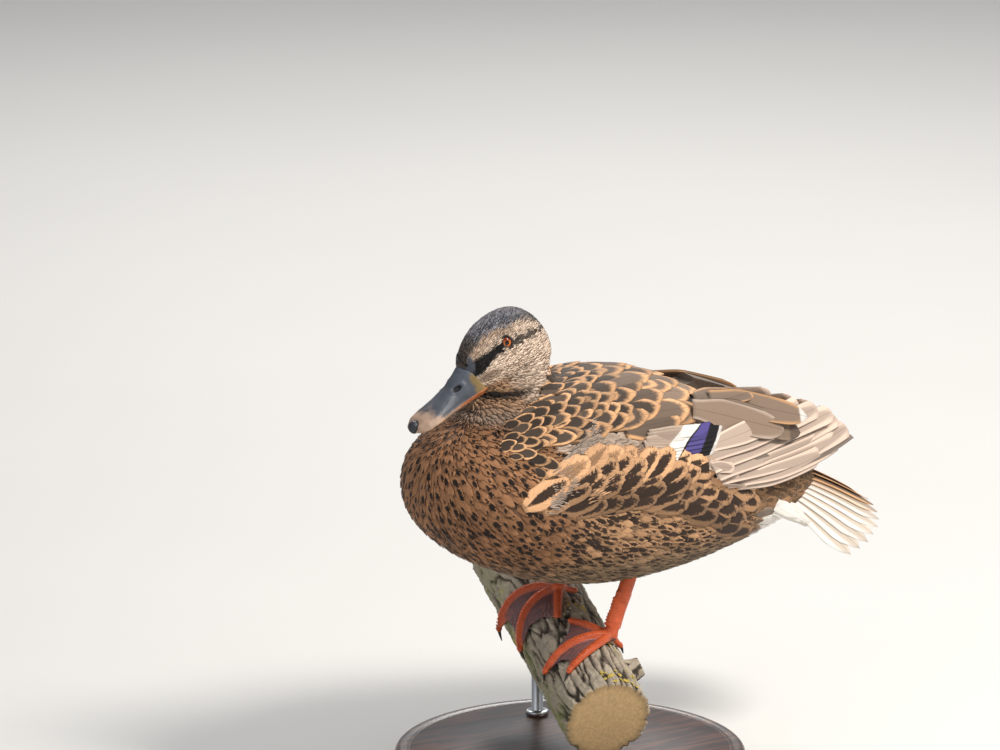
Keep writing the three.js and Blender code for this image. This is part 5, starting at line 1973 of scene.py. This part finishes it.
def bark_rod(name, place_at, radius_at, start, end, rows, columns, depth):
    """A closed rod of bark with flat sawn ends; place_at gives points from along, turn and radius."""
    c = colours("stand_looks")
    along = np.linspace(start, end, rows)
    turn = np.linspace(0, math.tau, columns, endpoint=False)
    grid_along, grid_turn = (item.ravel() for item in np.meshgrid(along, turn, indexing="ij"))
    radius = radius_at(grid_along)
    relief = bark_relief(grid_along, grid_turn, radius)
    points = place_at(grid_along, grid_turn, radius + depth * (np.clip(relief, -0.4, 1.2) - 1.1))
    # Furrows are darker: partly the bark's own colour, partly painted shade in the recesses.
    ground = blend(c.furrow, c.bark, ramp(0.15, 0.85, relief))
    patch = np.array([noise.fractal(Vector(point) / 17, 0.9, 2.0, 4) for point in points])
    shaded = ramp(0.1, -0.9, (PERCH.inside(points)[:, 1:] * (-0.6, 0.8)).sum(1) / BRANCH.radius)
    ground = blend(ground, c.moss, np.clip(shaded * (0.5 + patch), 0, 0.75))
    ground = ground * (1 + 0.35 * patch)[:, None]
    shares = np.linspace(0.93, 0.08, 7)[:, None, None]
    body = points.reshape(rows, columns, 3)
    near, far = (edge.mean(axis=0) + (edge - edge.mean(axis=0)) * shares for edge in (body[0], body[-1]))
    sawn = c.sapwood * (0.7 + 0.3 * (shares < 0.9)) * np.ones((1, columns, 1))
    mesh = ring_mesh(name, np.concatenate((near[::-1], body, far)))
    tones = np.concatenate((sawn[::-1], ground.reshape(rows, columns, 3), sawn))
    set_tone(mesh, np.clip(tones.reshape(-1, 3), 0, 1))
    return link(name, faces_out(mesh))


class BuildPerch(bpy.types.Operator):
    """Make the cut branch with its furrowed bark, side stub and lichen"""

    bl_idname = "hen.build_perch"
    bl_label = "Branch"

    def execute(self, context):
        depth = context.scene.stand_looks.furrow_depth

        def on_branch(along, turn, radius):
            return PERCH.out(np.column_stack((along, radius * np.sin(turn), radius * np.cos(turn))))

        branch = bark_rod(
            "branch", on_branch, lambda along: np.full(len(along), BRANCH.radius + 0.2),
            BRANCH.near, BRANCH.far, 260, 240, depth,
        )
        way = np.array((0.0, math.sin(STUB.angle), math.cos(STUB.angle)))
        aside = np.array((0.0, way[2], -way[1]))

        def on_stub(along, turn, radius):
            ring = np.outer(np.cos(turn) * radius, (1, 0, 0)) + np.outer(np.sin(turn) * radius, aside)
            return PERCH.out(np.array((STUB.along, 0, 0)) + np.outer(along, way) + ring)

        stub = bark_rod(
            "stub", on_stub, lambda along: np.interp(along, [24, 30, STUB.length], [10.5, 8, 6.6]),
            20, STUB.length, 40, 90, depth * 0.4,
        )
        bark = painted_material("Bark", 420, 0.35, 0.5, Roughness=0.88)
        ready(joined([branch, stub]), "bark", "perch_branch", material=bark)
        chance = np.random.default_rng(5)
        centres = chance.uniform((BRANCH.near, 0), (BRANCH.far, math.tau), (26, 2))
        picks = centres[chance.integers(0, 26, 520)] + chance.normal(0, 1, (520, 2)) * (4.2, 0.15)
        inside = (picks[:, 0] > BRANCH.near + 2) & (picks[:, 0] < BRANCH.far - 2)
        picks = picks[inside]
        spots = on_branch(picks[:, 0], picks[:, 1], BRANCH.radius - 0.45)
        ups = unit(on_branch(picks[:, 0], picks[:, 1], BRANCH.radius + 1) - spots)
        aims = unit(np.cross(ups, chance.normal(0, 1, ups.shape)))
        graph = Graph("Lichen", Roughness=0.9)
        value = graph.noise(graph.place(), 30, 2)
        gold = colours("stand_looks").lichen
        colour = graph.mix(graph.step(0.45, 0.55, value), gold, paint(196, 198, 184))
        graph.bump(graph.noise(graph.place(), 2200, 3), 0.6, 0.2)
        material = graph.finish(varied(graph, colour, graph.noise(graph.place(), 900, 4), 0.35))
        sizes = chance.uniform(0.5, 1.4, len(spots))
        lichen = studded(
            "lichen", material, spots, ups, aims, sizes, Length=2.6, Width=1.9, Height=0.7, Unevenness=0.3
        )
        ready(lichen, "bark")
        return {"FINISHED"}


def lathe(name, profile, sides, place=(0, 0)):
    """A closed solid turned from (radius, height) points, bottom to top, about a vertical axis."""
    turn = np.linspace(0, math.tau, sides, endpoint=False)
    rings = [
        np.column_stack((place[0] + r * np.cos(turn), place[1] + r * np.sin(turn), np.full(sides, z)))
        for r, z in profile
    ]
    return link(name, ring_mesh(name, rings))


def rounded(radius, height, fillet, steps=6):
    """Profile points of a rounded outer edge, from its side up to its top."""
    turns = np.linspace(0, math.pi / 2, steps)
    return [(radius - fillet + fillet * math.cos(t), height - fillet + fillet * math.sin(t)) for t in turns]


class BuildStand(bpy.types.Operator):
    """Make the walnut base and the two steel rods"""

    bl_idname = "hen.build_stand"
    bl_label = "Stand"

    def execute(self, context):
        c = colours("stand_looks")
        low, high = (np.array(corner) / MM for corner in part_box("stand_base"))
        radius, top = (high[0] - low[0]) / 2, high[2]
        profile = [(radius - 2.5, 0), (radius - 1, 0.4), (radius, 1.6), (radius, 4.0), (radius - 0.9, 4.6),
                   (radius - 0.9, 5.3), (radius - 0.2, 5.9), *rounded(radius - 0.2, top, 4)]
        profile += [(radius - 9, top), (radius - 9.6, top - 0.5), (radius - 10.4, top - 0.5),
                    (radius - 11, top), (radius / 2, top)]
        graph = Graph("Walnut", Roughness=0.34, Coat_Weight=0.35, Coat_Roughness=0.22)
        grain_place = graph.place((1.0, 9.0, 9.0))
        warp = graph.noise(grain_place, 4.0, 4)
        rings = graph.math("SINE", graph.math("MULTIPLY", warp, 60.0))
        veins = graph.step(-0.6, 0.9, rings)
        colour = graph.mix(veins, c.walnut_vein, c.walnut)
        pores = graph.noise(graph.place((20, 300, 300)), 3.0, 4, 0.7)
        colour = varied(graph, colour, pores, 0.35)
        graph.bump(pores, 0.25, 0.1)
        base = lathe("base", profile, 192)
        ready(base, "base_wood", "stand_base", material=graph.finish(colour))
        graph = Graph("Brushed steel", Metallic=1.0, Anisotropic=0.4)
        brushed = graph.noise(graph.place((1, 1, 90)), 60, 3)
        colour = varied(graph, paint(186, 188, 190), brushed, 0.15)
        rough = graph.math("MULTIPLY_ADD", brushed, 0.25, 0.22)
        steel = graph.finish(colour, rough)
        for node in ("stand_rod_front", "stand_rod_back"):
            low, high = (np.array(corner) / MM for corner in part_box(node))
            middle, collar = (low + high)[:2] / 2, (high - low)[0] / 2
            rod_radius = collar / 2
            foot = top + 0.3
            profile = [(rod_radius, low[2]), (rod_radius, foot), (collar - 0.5, foot), (collar, foot + 0.5),
                       *rounded(collar, foot + 3, 0.8, 4), (rod_radius + 0.6, foot + 3),
                       (rod_radius, foot + 3.6), (rod_radius, high[2])]
            piece = lathe(node.replace("stand_", ""), profile, 48, middle)
            ready(piece, "rod_steel", node, material=steel)
        return {"FINISHED"}


# ---- Stage ----

AIM = np.array((-37.5, 26.3, 264.5))
VIEW_TURN = math.radians(-35)
VIEW_RISE = math.radians(14)
VIEW_DISTANCE = 4500
LENS = 251


def look_at(thing, place, target):
    thing.location = Vector(place) * MM
    thing.rotation_euler = (Vector(target) - Vector(place)).to_track_quat("-Z", "Y").to_euler()
    bpy.context.scene.collection.objects.link(thing)


def add_light(name, place, power, size, colour):
    lamp = bpy.data.lights.new(name, "AREA")
    lamp.energy, lamp.size, lamp.color = power, size, colour
    look_at(bpy.data.objects.new(name, lamp), place, AIM)


class BuildStage(bpy.types.Operator):
    """Set the floor, the soft lights and the camera"""

    bl_idname = "hen.build_stage"
    bl_label = "Stage"

    def execute(self, context):
        floor = lathe("floor", [(6000, -0.5), (6000, 0)], 64)
        graph = Graph("Pale floor", Roughness=0.7)
        shade = colours("stand_looks").floor
        colour = varied(graph, shade, graph.noise(graph.place(), 3, 4), 0.03)
        graph.bump(graph.noise(graph.place(), 400, 2), 0.1, 0.2)
        dress(floor, graph.finish(colour))
        add_light("key", (900, -1650, 2250), 74, 0.8, (1, 0.965, 0.91))
        add_light("fill", (-2300, -600, 900), 8, 1.6, (0.92, 0.96, 1))
        add_light("rim", (1300, 1700, 1900), 32, 1.0, (1, 0.98, 0.95))
        world = bpy.data.worlds.new("studio")
        world.use_nodes = True
        sky = world.node_tree.nodes["Background"].inputs
        sky["Color"].default_value = (0.92, 0.95, 1, 1)
        sky["Strength"].default_value = 0.38
        context.scene.world = world
        context.scene.view_settings.view_transform = "Standard"
        lens = bpy.data.cameras.new("camera")
        lens.lens, lens.sensor_width, lens.clip_end = LENS, 36, 100
        camera = bpy.data.objects.new("camera", lens)
        flat = math.cos(VIEW_RISE)
        way = np.array((math.sin(VIEW_TURN) * flat, -math.cos(VIEW_TURN) * flat, math.sin(VIEW_RISE)))
        look_at(camera, AIM + way * VIEW_DISTANCE, AIM)
        context.scene.camera = camera
        return {"FINISHED"}


STEPS = (
    BuildSkin, CoatHead, CoatBody, CoatScapulars, CoatFlanks, BuildQuills, BuildTail, BuildBill, BuildEyes,
    BuildClaws, BuildScutes, BuildPerch, BuildStand, BuildStage,
)


class HenPanel(bpy.types.Panel):
    """The steps that build the bird, in order"""

    bl_idname = "VIEW3D_PT_hen"
    bl_label = "Hen mallard"
    bl_space_type = "VIEW_3D"
    bl_region_type = "UI"
    bl_category = "Mallard"

    def draw(self, context):
        column = self.layout.column()
        for step in STEPS:
            column.operator(step.bl_idname)
        for group in (context.scene.hen_sizes, context.scene.hen_tones, context.scene.stand_looks):
            box = self.layout.box()
            for key in group.__annotations__:
                box.prop(group, key)


CLASSES = (HenTones, HenSizes, StandLooks, *STEPS, HenPanel)


def register():
    for each in CLASSES:
        bpy.utils.register_class(each)
    bpy.types.Scene.hen_tones = PointerProperty(type=HenTones)
    bpy.types.Scene.hen_sizes = PointerProperty(type=HenSizes)
    bpy.types.Scene.stand_looks = PointerProperty(type=StandLooks)


def unregister():
    for name in ("hen_tones", "hen_sizes", "stand_looks"):
        delattr(bpy.types.Scene, name)
    for each in reversed(CLASSES):
        bpy.utils.unregister_class(each)


def main():
    register()
    for step in STEPS:
        group, name = step.bl_idname.split(".")
        getattr(getattr(bpy.ops, group), name)()


if __name__ == "__main__":
    main()
